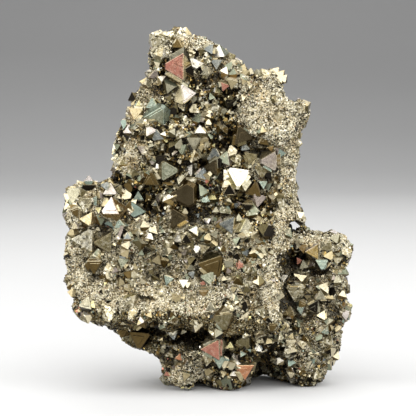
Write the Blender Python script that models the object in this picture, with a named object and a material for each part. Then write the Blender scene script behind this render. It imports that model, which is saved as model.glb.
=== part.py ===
"""A pyrite specimen: octahedral crystals grown on, and through, a block of granular pyrite.

Everything in it grew together, so it is one solid. The block is a union of rough lumps, one for each
mass that the front shows, with pockets cut from it. Its crystals are octahedra set into its surface:
first the large ones, each placed by the face that it shows, then small ones scattered over the rest.

+Z is up, the front faces -Y, and the origin is the middle of the base. Tables are in millimetres.
"""

import math
import random

import bmesh
import bpy
from mathutils import Euler, Matrix, Vector, noise
from mathutils.bvhtree import BVHTree

MM = 0.001

# Where the middle of the finished solid's box lies in the tables' own X and Y.
BOX_MIDDLE_X = -0.18
BOX_MIDDLE_Y = -1.02

# The rough surface of the block
VOXEL = 1.7
POCKET_VOXEL = 1.2
LUMP_SIZE = 13.0
LUMP_HEIGHT = 2.2
STEP_SIZE = 7.5
STEP_HEIGHT = 2.2
STEP_TURN = (35, 20, 50)
GRIT_SIZE = 4.5
GRIT_HEIGHT = 1.2
SURFACE_DROP = 0.9
BLOCK_FACES = 3400

# Outlines run clockwise as (x, z), seen from the front.
TOWER_OUTLINE = [
    (-23.5, 148), (-17, 149), (-15, 151), (-8, 149.5), (-1, 147), (5, 143), (10, 139), (15, 135),
    (26, 130), (30, 124), (36, 120), (41, 116), (39.5, 111), (39.5, 106), (39.5, 95), (38.5, 80),
    (40.5, 73), (42, 66), (34, 56), (-3, 52), (-32, 57), (-40, 76), (-41.5, 87), (-40, 99),
    (-37, 112), (-34, 119), (-28.5, 125), (-26, 134),
]
RIGHT_SHOULDER_OUTLINE = [
    (14, 128), (18, 133), (30, 133), (32, 126), (36, 121.5), (42, 118.5), (42, 115), (37, 107),
    (34, 99), (22, 102), (13, 109), (10, 118),
]
LEFT_SHELF_OUTLINE = [
    (-39, 98), (-34, 111), (-20, 113), (-3, 108), (-1, 99), (-13, 88), (-25, 83), (-40, 86),
]
MIDDLE_OUTLINE = [
    (-26, 82), (18, 86), (31, 78), (33, 60), (31, 36), (-24, 36), (-45, 53), (-38, 74),
]
LEFT_LOBE_OUTLINE = [
    (-26, 60), (-26, 30), (-37, 22), (-48, 25.5), (-56, 34), (-60, 42), (-62, 49), (-61.5, 55),
    (-58, 61), (-55.5, 68.5), (-59, 73), (-60, 79), (-57, 85), (-51, 88.5), (-40, 88), (-35, 80),
]
LEDGE_OUTLINE = [
    (-60, 50), (-45, 52), (-24, 48), (-2, 41), (18, 37), (32, 37), (34, 27), (24, 22), (0, 24),
    (-24, 27), (-40, 26.5), (-50, 27.5), (-55, 34),
]
SLAB_OUTLINE = [
    (3, 61), (17, 72), (31, 72), (33, 50), (33.5, 28), (14, 29), (0, 41),
]
LOWER_OUTLINE = [
    (-49, 36), (33, 38), (35, 18), (20, 14), (-3, 14), (-24, 14), (-32, 17), (-37, 20.5), (-46, 26),
]
FOOT_OUTLINE = [
    (-27, 21), (21, 20), (23, 11), (21, 4), (16, -1), (-12, -1), (-19.5, 2), (-20, 9), (-23, 14),
]
RIGHT_LOBE_OUTLINE = [
    (27, 62), (38, 66), (48, 67), (57, 67), (61, 62), (59.5, 56), (58.5, 51), (58, 45), (61, 40),
    (59.5, 28), (55, 24), (55.5, 15), (55, 9), (50, 4), (46, 0), (38, -2), (28, 5), (22, 11), (24, 30),
]
BACK_OUTLINE = [
    (-20, 136), (2, 132), (22, 116), (33, 100), (33, 66), (46, 56), (50, 30), (42, -2), (-12, -2),
    (-20, 14), (-44, 30), (-50, 54), (-48, 76), (-34, 84), (-30, 116),
]

# name: outline, back y, front y, lean of the front in x and in z (mm of depth for each mm)
LUMPS = {
    "tower": (TOWER_OUTLINE, 17, -12, 0.05, 0.06),
    "right_shoulder": (RIGHT_SHOULDER_OUTLINE, 12, -16, 0.10, 0.10),
    "left_shelf": (LEFT_SHELF_OUTLINE, 6, -19, -0.05, -0.05),
    "middle": (MIDDLE_OUTLINE, 21, -15, 0.0, 0.0),
    "left_lobe": (LEFT_LOBE_OUTLINE, 13, -22, -0.10, 0.05),
    "ledge": (LEDGE_OUTLINE, 6, -28, 0.04, 0.30),
    "slab": (SLAB_OUTLINE, 6, -24, 0.0, 0.06),
    "lower": (LOWER_OUTLINE, 22, -15, 0.0, 0.0),
    "foot": (FOOT_OUTLINE, 23, -18, 0.0, -0.30),
    "right_lobe": (RIGHT_LOBE_OUTLINE, 17, -13, 0.06, -0.10),
    "back": (BACK_OUTLINE, 26, 4, 0.0, 0.0),
}

# Share of a lump's depth, from its back, and the share of its outline there
LUMP_LEVELS = [
    (0.0, 0.66), (0.12, 0.88), (0.32, 0.98), (0.62, 1.0), (0.84, 0.97), (0.95, 0.90), (1.0, 0.80),
]

# Pockets: middle x, y, z and half sizes in x, y, z, with the turn about Y in degrees
POCKETS = [
    (-28, -22, 81.5, 10, 10, 3.0, 8),
    (0, -18, 76, 6.5, 8, 5.0, 0),
    (19, -16, 101, 13, 7, 3.0, -4),
    (24, -17, 80, 6, 7, 3.2, 0),
    (38, -16, 47, 8.5, 10, 12, 0),
    (-4, -29, 21.5, 34, 12, 4.5, 3),
    (-45, -24, 21, 12, 12, 6, -20),
    (24, -22, 8, 3.4, 16, 12, 0),
    (33.8, -20, 37, 2.2, 9, 18, -3),
    (9, -14, 119, 5, 5, 3.4, 0),
    (38, 17, 70, 9, 15, 9, 20),
]

# The window between the tower's right edge and the right lobe
WINDOW_X, WINDOW_Z, WINDOW_WIDTH, WINDOW_HEIGHT = 35.4, 67.5, 5.0, 5.5
# The surface is left smooth this near the window, because the rock beside it is thin.
WINDOW_CALM = 7.0

# The eye that the front is drawn for. The x and z of a large crystal are where the line of sight to
# the middle of its face crosses y = 0.
EYE = (0, -747, 140.4)

# Large crystals of the front, each given by the one face that it shows: where the middle of that
# face is seen in x and z, the crystal's edge, the way one corner of the face points (0 is right and
# 90 up, in degrees), and how far the face turns to the right and up.
CRYSTALS = [
    (-13, 134, 11, 180, -12, 5), (-9, 123, 9, 0, 35, 14), (-22, 113, 10.5, -60, -8, -6),
    (-30.5, 115, 6.5, -95, -5, 28), (-24.5, 107.5, 5, -120, 5, 30), (-21.5, 105, 5, -20, 0, 0),
    (-13, 143.5, 5, 90, -10, 10), (0.5, 141.5, 5, 60, -10, 20), (4, 140, 6, 90, -20, 20),
    (9.5, 138.5, 5, 130, 25, 10), (3.5, 135.5, 4.5, 30, 0, 5), (-1.5, 132, 4.5, 80, -15, 5),
    (7, 132.5, 4, -60, 20, 30), (6.5, 126, 4, 10, 0, -10), (29.5, 130.5, 6.5, -75, 12, 22),
    (9, 119, 5, 20, 10, -20), (-3.5, 107.5, 5, 90, 5, 32), (14.5, 105, 8.5, -10, 0, -8),
    (15.5, 100.5, 4.5, 100, 0, 8), (26, 100, 3, 45, 0, -25), (-17, 90.5, 8, 0, 10, 0),
    (-24, 86.5, 7, -30, -10, -4), (-21, 93, 4, 0, -10, 30), (-10, 80, 11, -60, -4, -6),
    (-17, 80, 5.5, 0, -20, 30), (-1.5, 79, 5, 85, 0, 18), (-2.5, 89, 6.5, -45, 5, 10),
    (1.5, 92, 7.5, 60, -20, -5), (6.5, 95.5, 6.5, 70, -10, 15), (13, 88.5, 10, -100, 15, 30),
    (17.5, 96.5, 6.5, 20, -5, 12), (26, 95, 8.5, 180, 10, 6), (19, 82.5, 7, 80, 0, -6),
    (23, 85, 4, 30, 10, 15), (16.5, 75.5, 5, -90, -5, -10), (8.5, 68, 7.5, 55, -15, 6),
    (-6, 65.5, 4, -60, -5, 32), (-5, 58, 4, -90, 5, 30), (13, 70.5, 4, 90, 10, 20),
    (-50.5, 86, 6.5, -20, -10, 25), (-43, 84, 4.5, 170, 0, 20), (-41.5, 82.5, 6, 90, -5, 28),
    (-37.5, 82.5, 4, 60, 20, 0), (-41, 75, 9, 92, -22, 22), (-51, 70.5, 6.5, -60, -15, 20),
    (-52.5, 81.5, 4.5, 0, 5, -10), (-57, 75.5, 4, -90, -35, 20), (-55.5, 73, 5.5, -70, -20, -10),
    (-29.5, 79.5, 4.5, -30, 10, 5), (-48, 50.5, 6.5, -90, 5, -12), (-34.5, 59.5, 4, 180, -10, 28),
    (-36, 52, 5, 20, 5, 6), (-23, 65.5, 4, -50, 10, 25), (-25, 63, 4, 80, -10, 25),
    (-13, 61.5, 4, -30, -20, 5), (-9.5, 61.5, 4.5, 90, 15, -6), (-10.5, 43.5, 5, -90, 0, 32),
    (-17, 44.5, 5, 10, 0, 10), (-7, 47, 3, 45, 10, 5), (-51.5, 34.5, 6.5, 80, -20, 25),
    (-52, 61, 10, -60, -10, 8), (2, 50.5, 11.5, -70, -6, -6), (13.5, 51, 4, -10, 5, 5),
    (0, 45.5, 6, 170, 0, 12), (-2, 43, 3, 60, 0, 0), (-2, 39, 5, -90, -5, -10),
    (6.5, 27, 9, -80, -4, -8), (7, 31, 4, 0, 0, 30), (27, 24.5, 4, 20, 15, -8),
    (2, 14.5, 10, 60, -10, -4), (4.5, 10, 6, 30, 5, 6), (15.5, 6, 8, -90, 6, -8),
    (15, 18, 6.5, -60, 0, -10), (9, 16.5, 3.5, -30, 0, 10), (21, 15.5, 4, 80, 20, 15),
    (14.5, 13, 3, 0, 0, 10), (-12.5, 11.5, 3.5, -45, -5, 0), (-17.5, 4.5, 3.5, -30, -30, -5),
    (-29.5, 19.5, 9, -95, -8, -10), (-36.5, 22, 4, 150, -20, 5), (48, 51.5, 5.5, 30, 5, 12),
    (38.5, 45, 6.5, -100, 0, 26), (37, 39.5, 9, -90, -5, -8), (40, 50.5, 4.5, -20, -5, 0),
    (49, 41.5, 6, -70, 5, 28), (54.5, 44.5, 4, 90, 20, 20), (31.5, 45.5, 4, -90, -10, 30),
    (39.5, 34, 4, 0, 0, -5), (39, 32, 4, -80, -5, 10), (44.5, 33, 5.5, 60, 5, -12),
    (48, 29.5, 4, -60, 5, 25), (58, 29.5, 4, -80, 25, 0), (54.5, 24.5, 4, 0, 20, 20),
    (54, 12.5, 4.5, -60, 30, 15), (35, 17.5, 5, -90, 0, 6), (30, 10, 3.5, 0, -10, 15),
    (35, 9.5, 4, 120, 0, 15), (35, 4, 3.5, -90, 0, -10), (38, 52.5, 3.5, 0, -10, -20),
    (44.5, 56.5, 5.5, -60, 5, -15), (39.5, 58, 4.5, 40, -10, -15), (50, 58.5, 4.5, 80, 10, -10),
]
# How far a large crystal's face stands out from the block, in edges
FACE_STANDS_OUT = 0.30

# Fracture surfaces with only fine grains, seen from the front: middle x, z and half sizes
BARE_PATCHES = [(27, 115, 14, 12), (-6, 38, 50, 7), (19, 44, 13, 15), (-52, 46, 9, 12), (46, 63, 14, 4)]

# Scattered crystals: seed, number, smallest and largest edge, whether on the front
SCATTERS = [(7, 70, 3.0, 5.5, True), (23, 8, 7.0, 10.0, False), (19, 24, 3.0, 6.0, False)]

# The least and most that a scattered crystal's middle lies below the surface, in edges
SCATTER_SUNK = (0.08, 0.33)


def new_object(name, mesh):
    made = bpy.data.objects.new(name, mesh)
    bpy.context.scene.collection.objects.link(made)
    return made


def object_from(bm, name):
    mesh = bpy.data.meshes.new(name)
    bm.to_mesh(mesh)
    bm.free()
    return new_object(name, mesh)


def evaluated_mesh(obj, name):
    """The object's mesh with its modifiers applied, as a mesh of its own."""
    bpy.context.view_layer.update()
    graph = bpy.context.evaluated_depsgraph_get()
    mesh = bpy.data.meshes.new_from_object(obj.evaluated_get(graph))
    mesh.name = name
    return mesh


def add_lump(bm, outline, back, front, lean_x, lean_z):
    """A closed block: the outline at each level of LUMP_LEVELS, from the back to the front."""
    middle_x = sum(x for x, z in outline) / len(outline)
    middle_z = sum(z for x, z in outline) / len(outline)
    rings = []
    for depth, share in LUMP_LEVELS:
        ring = []
        for x, z in outline:
            off_x, off_z = share * (x - middle_x), share * (z - middle_z)
            y = back + depth * (front - back + lean_x * off_x + lean_z * off_z)
            ring.append(bm.verts.new(Vector((middle_x + off_x, y, middle_z + off_z)) * MM))
        rings.append(ring)
    count = len(outline)
    for back_ring, front_ring in zip(rings, rings[1:]):
        for i in range(count):
            j = (i + 1) % count
            bm.faces.new((back_ring[i], back_ring[j], front_ring[j], front_ring[i]))
    bm.faces.new(rings[0][::-1])
    bm.faces.new(rings[-1])


def lumps_object():
    bm = bmesh.new()
    for lump in LUMPS.values():
        add_lump(bm, *lump)
    bmesh.ops.recalc_face_normals(bm, faces=bm.faces)
    bmesh.ops.triangulate(bm, faces=bm.faces)
    return object_from(bm, "lumps")


def pockets_object():
    bm = bmesh.new()
    for x, y, z, half_x, half_y, half_z, turn in POCKETS:
        place = (
            Matrix.Translation(Vector((x, y, z)) * MM)
            @ Matrix.Rotation(math.radians(turn), 4, "Y")
            @ Matrix.Diagonal((half_x * MM, half_y * MM, half_z * MM, 1))
        )
        bmesh.ops.create_icosphere(bm, subdivisions=2, radius=1, matrix=place)
    window = (
        Matrix.Translation(Vector((WINDOW_X, 0, WINDOW_Z)) * MM)
        @ Matrix.Rotation(math.pi / 2, 4, "X")
        @ Matrix.Diagonal((WINDOW_WIDTH / 2 * MM, WINDOW_HEIGHT / 2 * MM, MM, 1))
    )
    bmesh.ops.create_cone(
        bm, cap_ends=True, segments=10, radius1=1, radius2=1, depth=90, matrix=window
    )
    return object_from(bm, "pockets")


def apply_remesh(obj, voxel):
    remesh = obj.modifiers.new("one skin", "REMESH")
    remesh.mode = "VOXEL"
    remesh.voxel_size = voxel * MM
    mesh = evaluated_mesh(obj, obj.name)
    obj.modifiers.clear()
    obj.data = mesh


def roughen(mesh):
    """Moves the surface along its normals by coarse lumps, the steps of broken rock, and grit."""
    turn = Euler([math.radians(angle) for angle in STEP_TURN]).to_matrix()
    normals = [Vector(v.normal) for v in mesh.vertices]
    for v, normal in zip(mesh.vertices, normals):
        from_window = math.hypot(v.co.x / MM - WINDOW_X, v.co.z / MM - WINDOW_Z)
        share = min(1, (from_window / WINDOW_CALM) ** 2)
        lumps = LUMP_HEIGHT * noise.noise(v.co / (LUMP_SIZE * MM))
        steps = STEP_HEIGHT * (noise.cell(turn @ v.co / (STEP_SIZE * MM)) - 0.5)
        grit = GRIT_HEIGHT * (0.5 - noise.voronoi(v.co / (GRIT_SIZE * MM))[0][0])
        v.co += normal * (share * (lumps + steps + grit) - SURFACE_DROP) * MM


def block_object():
    """The granular block without its crystals."""
    block = lumps_object()
    apply_remesh(block, VOXEL)
    pockets = pockets_object()
    apply_remesh(pockets, POCKET_VOXEL)
    cut = block.modifiers.new("pockets", "BOOLEAN")
    cut.operation = "DIFFERENCE"
    cut.object = pockets
    block.data = evaluated_mesh(block, "block")
    block.modifiers.clear()
    bpy.data.objects.remove(pockets)
    apply_remesh(block, VOXEL)
    roughen(block.data)
    apply_remesh(block, VOXEL)
    thin = block.modifiers.new("fewer faces", "DECIMATE")
    thin.ratio = BLOCK_FACES / (2 * len(block.data.polygons))
    block.data = evaluated_mesh(block, "block")
    block.modifiers.clear()
    return block


def octahedron(bm, centre, axes, radius):
    """An octahedron with its corners at radius along each of the three axes, and against them."""
    tips = [bm.verts.new(centre + radius * axis) for axis in axes]
    tails = [bm.verts.new(centre - radius * axis) for axis in axes]
    for a in (tips[0], tails[0]):
        for b in (tips[1], tails[1]):
            for c in (tips[2], tails[2]):
                bm.faces.new((a, b, c))


def axes_showing(point, turn_right, turn_up):
    """The outward normal of the shown face, and the crystal's three axes."""
    turn = Matrix.Rotation(math.radians(turn_right), 3, "Z") @ Matrix.Rotation(
        math.radians(-turn_up), 3, "X"
    )
    normal = turn @ Vector((0, -1, 0))
    corner = turn @ Vector((math.cos(math.radians(point)), 0, math.sin(math.radians(point))))
    axes = []
    for third in range(3):
        spoke = Matrix.Rotation(third * math.tau / 3, 3, normal) @ corner
        axes.append(normal * math.sqrt(1 / 3) + spoke * math.sqrt(2 / 3))
    return normal, axes


def surface_in_sight(tree, x, z):
    """The point of the block that is seen at x, z, or the nearest one to it, and the line of sight."""
    eye, through = Vector(EYE) * MM, Vector((x, 0, z)) * MM
    sight = (through - eye).normalized()
    return tree.ray_cast(eye, sight)[0] or tree.find_nearest(through)[0], sight


def large_crystals(bm, tree):
    """Adds the crystals of CRYSTALS, and returns their centres with their edges."""
    placed = []
    for x, z, edge, point, turn_right, turn_up in CRYSTALS:
        normal, axes = axes_showing(point, turn_right, turn_up)
        surface, sight = surface_in_sight(tree, x, z)
        face_middle = surface - sight * FACE_STANDS_OUT * edge * MM
        centre = face_middle - normal * (edge / math.sqrt(6)) * MM
        octahedron(bm, centre, axes, edge / math.sqrt(2) * MM)
        placed.append((centre, edge))
    return placed


def in_bare_patch(place):
    x, z = place.x / MM, place.z / MM
    return any(
        ((x - middle_x) / half_x) ** 2 + ((z - middle_z) / half_z) ** 2 < 1
        for middle_x, middle_z, half_x, half_z in BARE_PATCHES
    )


def scattered_crystals(bm, block, placed, seed, number, smallest, largest, in_front):
    """Adds small crystals at random places of the block, clear of the middles of those placed."""
    dice = random.Random(seed)
    triangles = list(block.data.loop_triangles)
    areas = [triangle.area for triangle in triangles]
    verts = block.data.vertices
    made = 0
    while made < number:
        triangle = dice.choices(triangles, areas)[0]
        a, b, c = (verts[i].co for i in triangle.vertices)
        u, v = sorted((dice.random(), dice.random()))
        place = a * u + b * (v - u) + c * (1 - v)
        edge = dice.uniform(smallest, largest)
        faces_front = triangle.normal.y < 0.1
        crowded = any((place - other).length < 0.5 * (edge + size) * MM for other, size in placed)
        if crowded or faces_front != in_front or (in_front and in_bare_patch(place)):
            continue
        turn = Euler([dice.uniform(0, math.tau) for _ in range(3)]).to_matrix()
        centre = place - triangle.normal * dice.uniform(*SCATTER_SUNK) * edge * MM
        octahedron(bm, centre, [turn.col[i] for i in range(3)], edge / math.sqrt(2) * MM)
        placed.append((centre, edge))
        made += 1


def crystals_object(block):
    bm = bmesh.new()
    block.data.calc_loop_triangles()
    tree = BVHTree.FromObject(block, bpy.context.evaluated_depsgraph_get())
    placed = large_crystals(bm, tree)
    for scatter in SCATTERS:
        scattered_crystals(bm, block, placed, *scatter)
    bmesh.ops.recalc_face_normals(bm, faces=bm.faces)
    return object_from(bm, "crystals")


def ground_object():
    """The block that trims the underside flat at z = 0."""
    bm = bmesh.new()
    bmesh.ops.create_cube(bm, size=0.3, matrix=Matrix.Translation((0, 0, -0.15)))
    return object_from(bm, "ground")


def combine(obj, other, operation):
    """Joins other to obj, or cuts it away, and removes other."""
    join = obj.modifiers.new(operation.lower(), "BOOLEAN")
    join.operation = operation
    join.object = other
    join.use_self = True
    mesh = evaluated_mesh(obj, obj.name)
    obj.modifiers.clear()
    obj.data = mesh
    bpy.data.objects.remove(other)


def keep_largest_shell(mesh):
    """Drops the inner shells that overlapping crystals leave around the gaps between them."""
    bm = bmesh.new()
    bm.from_mesh(mesh)
    unseen, shells = set(bm.verts), []
    while unseen:
        shell, edge_of_it = set(), [unseen.pop()]
        while edge_of_it:
            vert = edge_of_it.pop()
            shell.add(vert)
            near = {e.other_vert(vert) for e in vert.link_edges} & unseen
            unseen -= near
            edge_of_it.extend(near)
        shells.append(shell)
    shells.sort(key=len)
    bmesh.ops.delete(bm, geom=[v for shell in shells[:-1] for v in shell], context="VERTS")
    bm.to_mesh(mesh)
    bm.free()


def pyrite_material():
    pyrite = bpy.data.materials.new("pyrite")
    pyrite.use_nodes = True
    shader = pyrite.node_tree.nodes["Principled BSDF"]
    shader.inputs["Base Color"].default_value = (0.56, 0.49, 0.33, 1)
    shader.inputs["Metallic"].default_value = 1.0
    shader.inputs["Roughness"].default_value = 0.32
    return pyrite


def build():
    for old in list(bpy.data.objects):
        bpy.data.objects.remove(old)
    specimen = block_object()
    combine(specimen, crystals_object(specimen), "UNION")
    combine(specimen, ground_object(), "DIFFERENCE")
    keep_largest_shell(specimen.data)
    specimen.name = "pyrite_specimen"
    specimen.data.materials.clear()
    specimen.data.materials.append(pyrite_material())
    specimen.data.transform(Matrix.Translation((-BOX_MIDDLE_X * MM, -BOX_MIDDLE_Y * MM, 0)))


build()
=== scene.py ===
"""The looks of the pyrite specimen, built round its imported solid.

The block and the crystals of the solid are made again here from the same tables: the block with a
finer skin, and each crystal with cut corners, worn edges, growth steps and smaller crystals grown
together with it. More crystals and grains then cover them. All of it replaces the one CAD node.
Tables are in millimetres.
"""

import math
import random
from itertools import combinations, product

import bmesh
import bpy
import numpy as np
from mathutils import Euler, Matrix, Vector, noise
from mathutils.bvhtree import BVHTree
from mathutils.kdtree import KDTree


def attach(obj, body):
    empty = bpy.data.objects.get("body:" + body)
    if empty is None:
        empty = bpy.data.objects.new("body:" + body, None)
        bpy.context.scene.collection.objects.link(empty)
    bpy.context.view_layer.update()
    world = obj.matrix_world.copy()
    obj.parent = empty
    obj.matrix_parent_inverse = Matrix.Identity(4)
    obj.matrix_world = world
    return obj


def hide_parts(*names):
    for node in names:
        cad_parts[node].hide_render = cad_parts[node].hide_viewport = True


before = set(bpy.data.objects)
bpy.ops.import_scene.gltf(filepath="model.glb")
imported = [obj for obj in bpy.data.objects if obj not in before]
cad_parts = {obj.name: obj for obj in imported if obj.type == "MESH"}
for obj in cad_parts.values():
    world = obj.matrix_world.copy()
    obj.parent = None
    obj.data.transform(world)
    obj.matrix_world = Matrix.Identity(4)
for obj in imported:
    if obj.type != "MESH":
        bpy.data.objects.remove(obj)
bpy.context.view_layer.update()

MM = 0.001
NODE = "pyrite_specimen"

# Where the middle of the solid's box lies in the tables' own X and Y
BOX_MIDDLE_X = -0.18
BOX_MIDDLE_Y = -1.02

# The block: voxels, the size and height of coarse lumps, of steps of broken rock and of grit, how the
# steps are turned in degrees, how far the surface is lowered in all, and the faces of the solid's block
VOXEL = 1.7
POCKET_VOXEL = 1.2
LUMP_SIZE = 13.0
LUMP_HEIGHT = 2.2
STEP_SIZE = 7.5
STEP_HEIGHT = 2.2
STEP_TURN = (35, 20, 50)
GRIT_SIZE = 4.5
GRIT_HEIGHT = 1.2
SURFACE_DROP = 0.9
BLOCK_FACES = 3400

# Outlines run clockwise as (x, z), seen from the front.
TOWER_OUTLINE = [
    (-23.5, 148), (-17, 149), (-15, 151), (-8, 149.5), (-1, 147), (5, 143), (10, 139), (15, 135),
    (26, 130), (30, 124), (36, 120), (41, 116), (39.5, 111), (39.5, 106), (39.5, 95), (38.5, 80),
    (40.5, 73), (42, 66), (34, 56), (-3, 52), (-32, 57), (-40, 76), (-41.5, 87), (-40, 99),
    (-37, 112), (-34, 119), (-28.5, 125), (-26, 134),
]
RIGHT_SHOULDER_OUTLINE = [
    (14, 128), (18, 133), (30, 133), (32, 126), (36, 121.5), (42, 118.5), (42, 115), (37, 107),
    (34, 99), (22, 102), (13, 109), (10, 118),
]
LEFT_SHELF_OUTLINE = [
    (-39, 98), (-34, 111), (-20, 113), (-3, 108), (-1, 99), (-13, 88), (-25, 83), (-40, 86),
]
MIDDLE_OUTLINE = [
    (-26, 82), (18, 86), (31, 78), (33, 60), (31, 36), (-24, 36), (-45, 53), (-38, 74),
]
LEFT_LOBE_OUTLINE = [
    (-26, 60), (-26, 30), (-37, 22), (-48, 25.5), (-56, 34), (-60, 42), (-62, 49), (-61.5, 55),
    (-58, 61), (-55.5, 68.5), (-59, 73), (-60, 79), (-57, 85), (-51, 88.5), (-40, 88), (-35, 80),
]
LEDGE_OUTLINE = [
    (-60, 50), (-45, 52), (-24, 48), (-2, 41), (18, 37), (32, 37), (34, 27), (24, 22), (0, 24),
    (-24, 27), (-40, 26.5), (-50, 27.5), (-55, 34),
]
SLAB_OUTLINE = [
    (3, 61), (17, 72), (31, 72), (33, 50), (33.5, 28), (14, 29), (0, 41),
]
LOWER_OUTLINE = [
    (-49, 36), (33, 38), (35, 18), (20, 14), (-3, 14), (-24, 14), (-32, 17), (-37, 20.5), (-46, 26),
]
FOOT_OUTLINE = [
    (-27, 21), (21, 20), (23, 11), (21, 4), (16, -1), (-12, -1), (-19.5, 2), (-20, 9), (-23, 14),
]
RIGHT_LOBE_OUTLINE = [
    (27, 62), (38, 66), (48, 67), (57, 67), (61, 62), (59.5, 56), (58.5, 51), (58, 45), (61, 40),
    (59.5, 28), (55, 24), (55.5, 15), (55, 9), (50, 4), (46, 0), (38, -2), (28, 5), (22, 11), (24, 30),
]
BACK_OUTLINE = [
    (-20, 136), (2, 132), (22, 116), (33, 100), (33, 66), (46, 56), (50, 30), (42, -2), (-12, -2),
    (-20, 14), (-44, 30), (-50, 54), (-48, 76), (-34, 84), (-30, 116),
]

# name: outline, back y, front y, lean of the front in x and in z (mm of depth for each mm)
LUMPS = {
    "tower": (TOWER_OUTLINE, 17, -12, 0.05, 0.06),
    "right_shoulder": (RIGHT_SHOULDER_OUTLINE, 12, -16, 0.10, 0.10),
    "left_shelf": (LEFT_SHELF_OUTLINE, 6, -19, -0.05, -0.05),
    "middle": (MIDDLE_OUTLINE, 21, -15, 0.0, 0.0),
    "left_lobe": (LEFT_LOBE_OUTLINE, 13, -22, -0.10, 0.05),
    "ledge": (LEDGE_OUTLINE, 6, -28, 0.04, 0.30),
    "slab": (SLAB_OUTLINE, 6, -24, 0.0, 0.06),
    "lower": (LOWER_OUTLINE, 22, -15, 0.0, 0.0),
    "foot": (FOOT_OUTLINE, 23, -18, 0.0, -0.30),
    "right_lobe": (RIGHT_LOBE_OUTLINE, 17, -13, 0.06, -0.10),
    "back": (BACK_OUTLINE, 26, 4, 0.0, 0.0),
}

# Share of a lump's depth, from its back, and the size of its outline there
LUMP_LEVELS = [
    (0.0, 0.66), (0.12, 0.88), (0.32, 0.98), (0.62, 1.0), (0.84, 0.97), (0.95, 0.90), (1.0, 0.80),
]

# Pockets: middle x, y, z and half sizes in x, y, z, with the turn about Y in degrees
POCKETS = [
    (-28, -22, 81.5, 10, 10, 3.0, 8),
    (0, -18, 76, 6.5, 8, 5.0, 0),
    (19, -16, 101, 13, 7, 3.0, -4),
    (24, -17, 80, 6, 7, 3.2, 0),
    (38, -16, 47, 8.5, 10, 12, 0),
    (-4, -29, 21.5, 34, 12, 4.5, 3),
    (-45, -24, 21, 12, 12, 6, -20),
    (24, -22, 8, 3.4, 16, 12, 0),
    (33.8, -20, 37, 2.2, 9, 18, -3),
    (9, -14, 119, 5, 5, 3.4, 0),
    (38, 17, 70, 9, 15, 9, 20),
]

# The window between the tower's right edge and the right lobe
WINDOW_X, WINDOW_Z, WINDOW_WIDTH, WINDOW_HEIGHT = 35.4, 67.5, 5.0, 5.5
WINDOW_DEPTH = 90
WINDOW_SIDES = 10
# The surface is left smooth this near the window, because the rock beside it is thin.
WINDOW_CALM = 7.0

# The eye that the front is drawn for. The x and z of a large crystal are where the line of sight to
# the middle of its face crosses y = 0.
EYE = (0, -747, 140.4)

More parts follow.
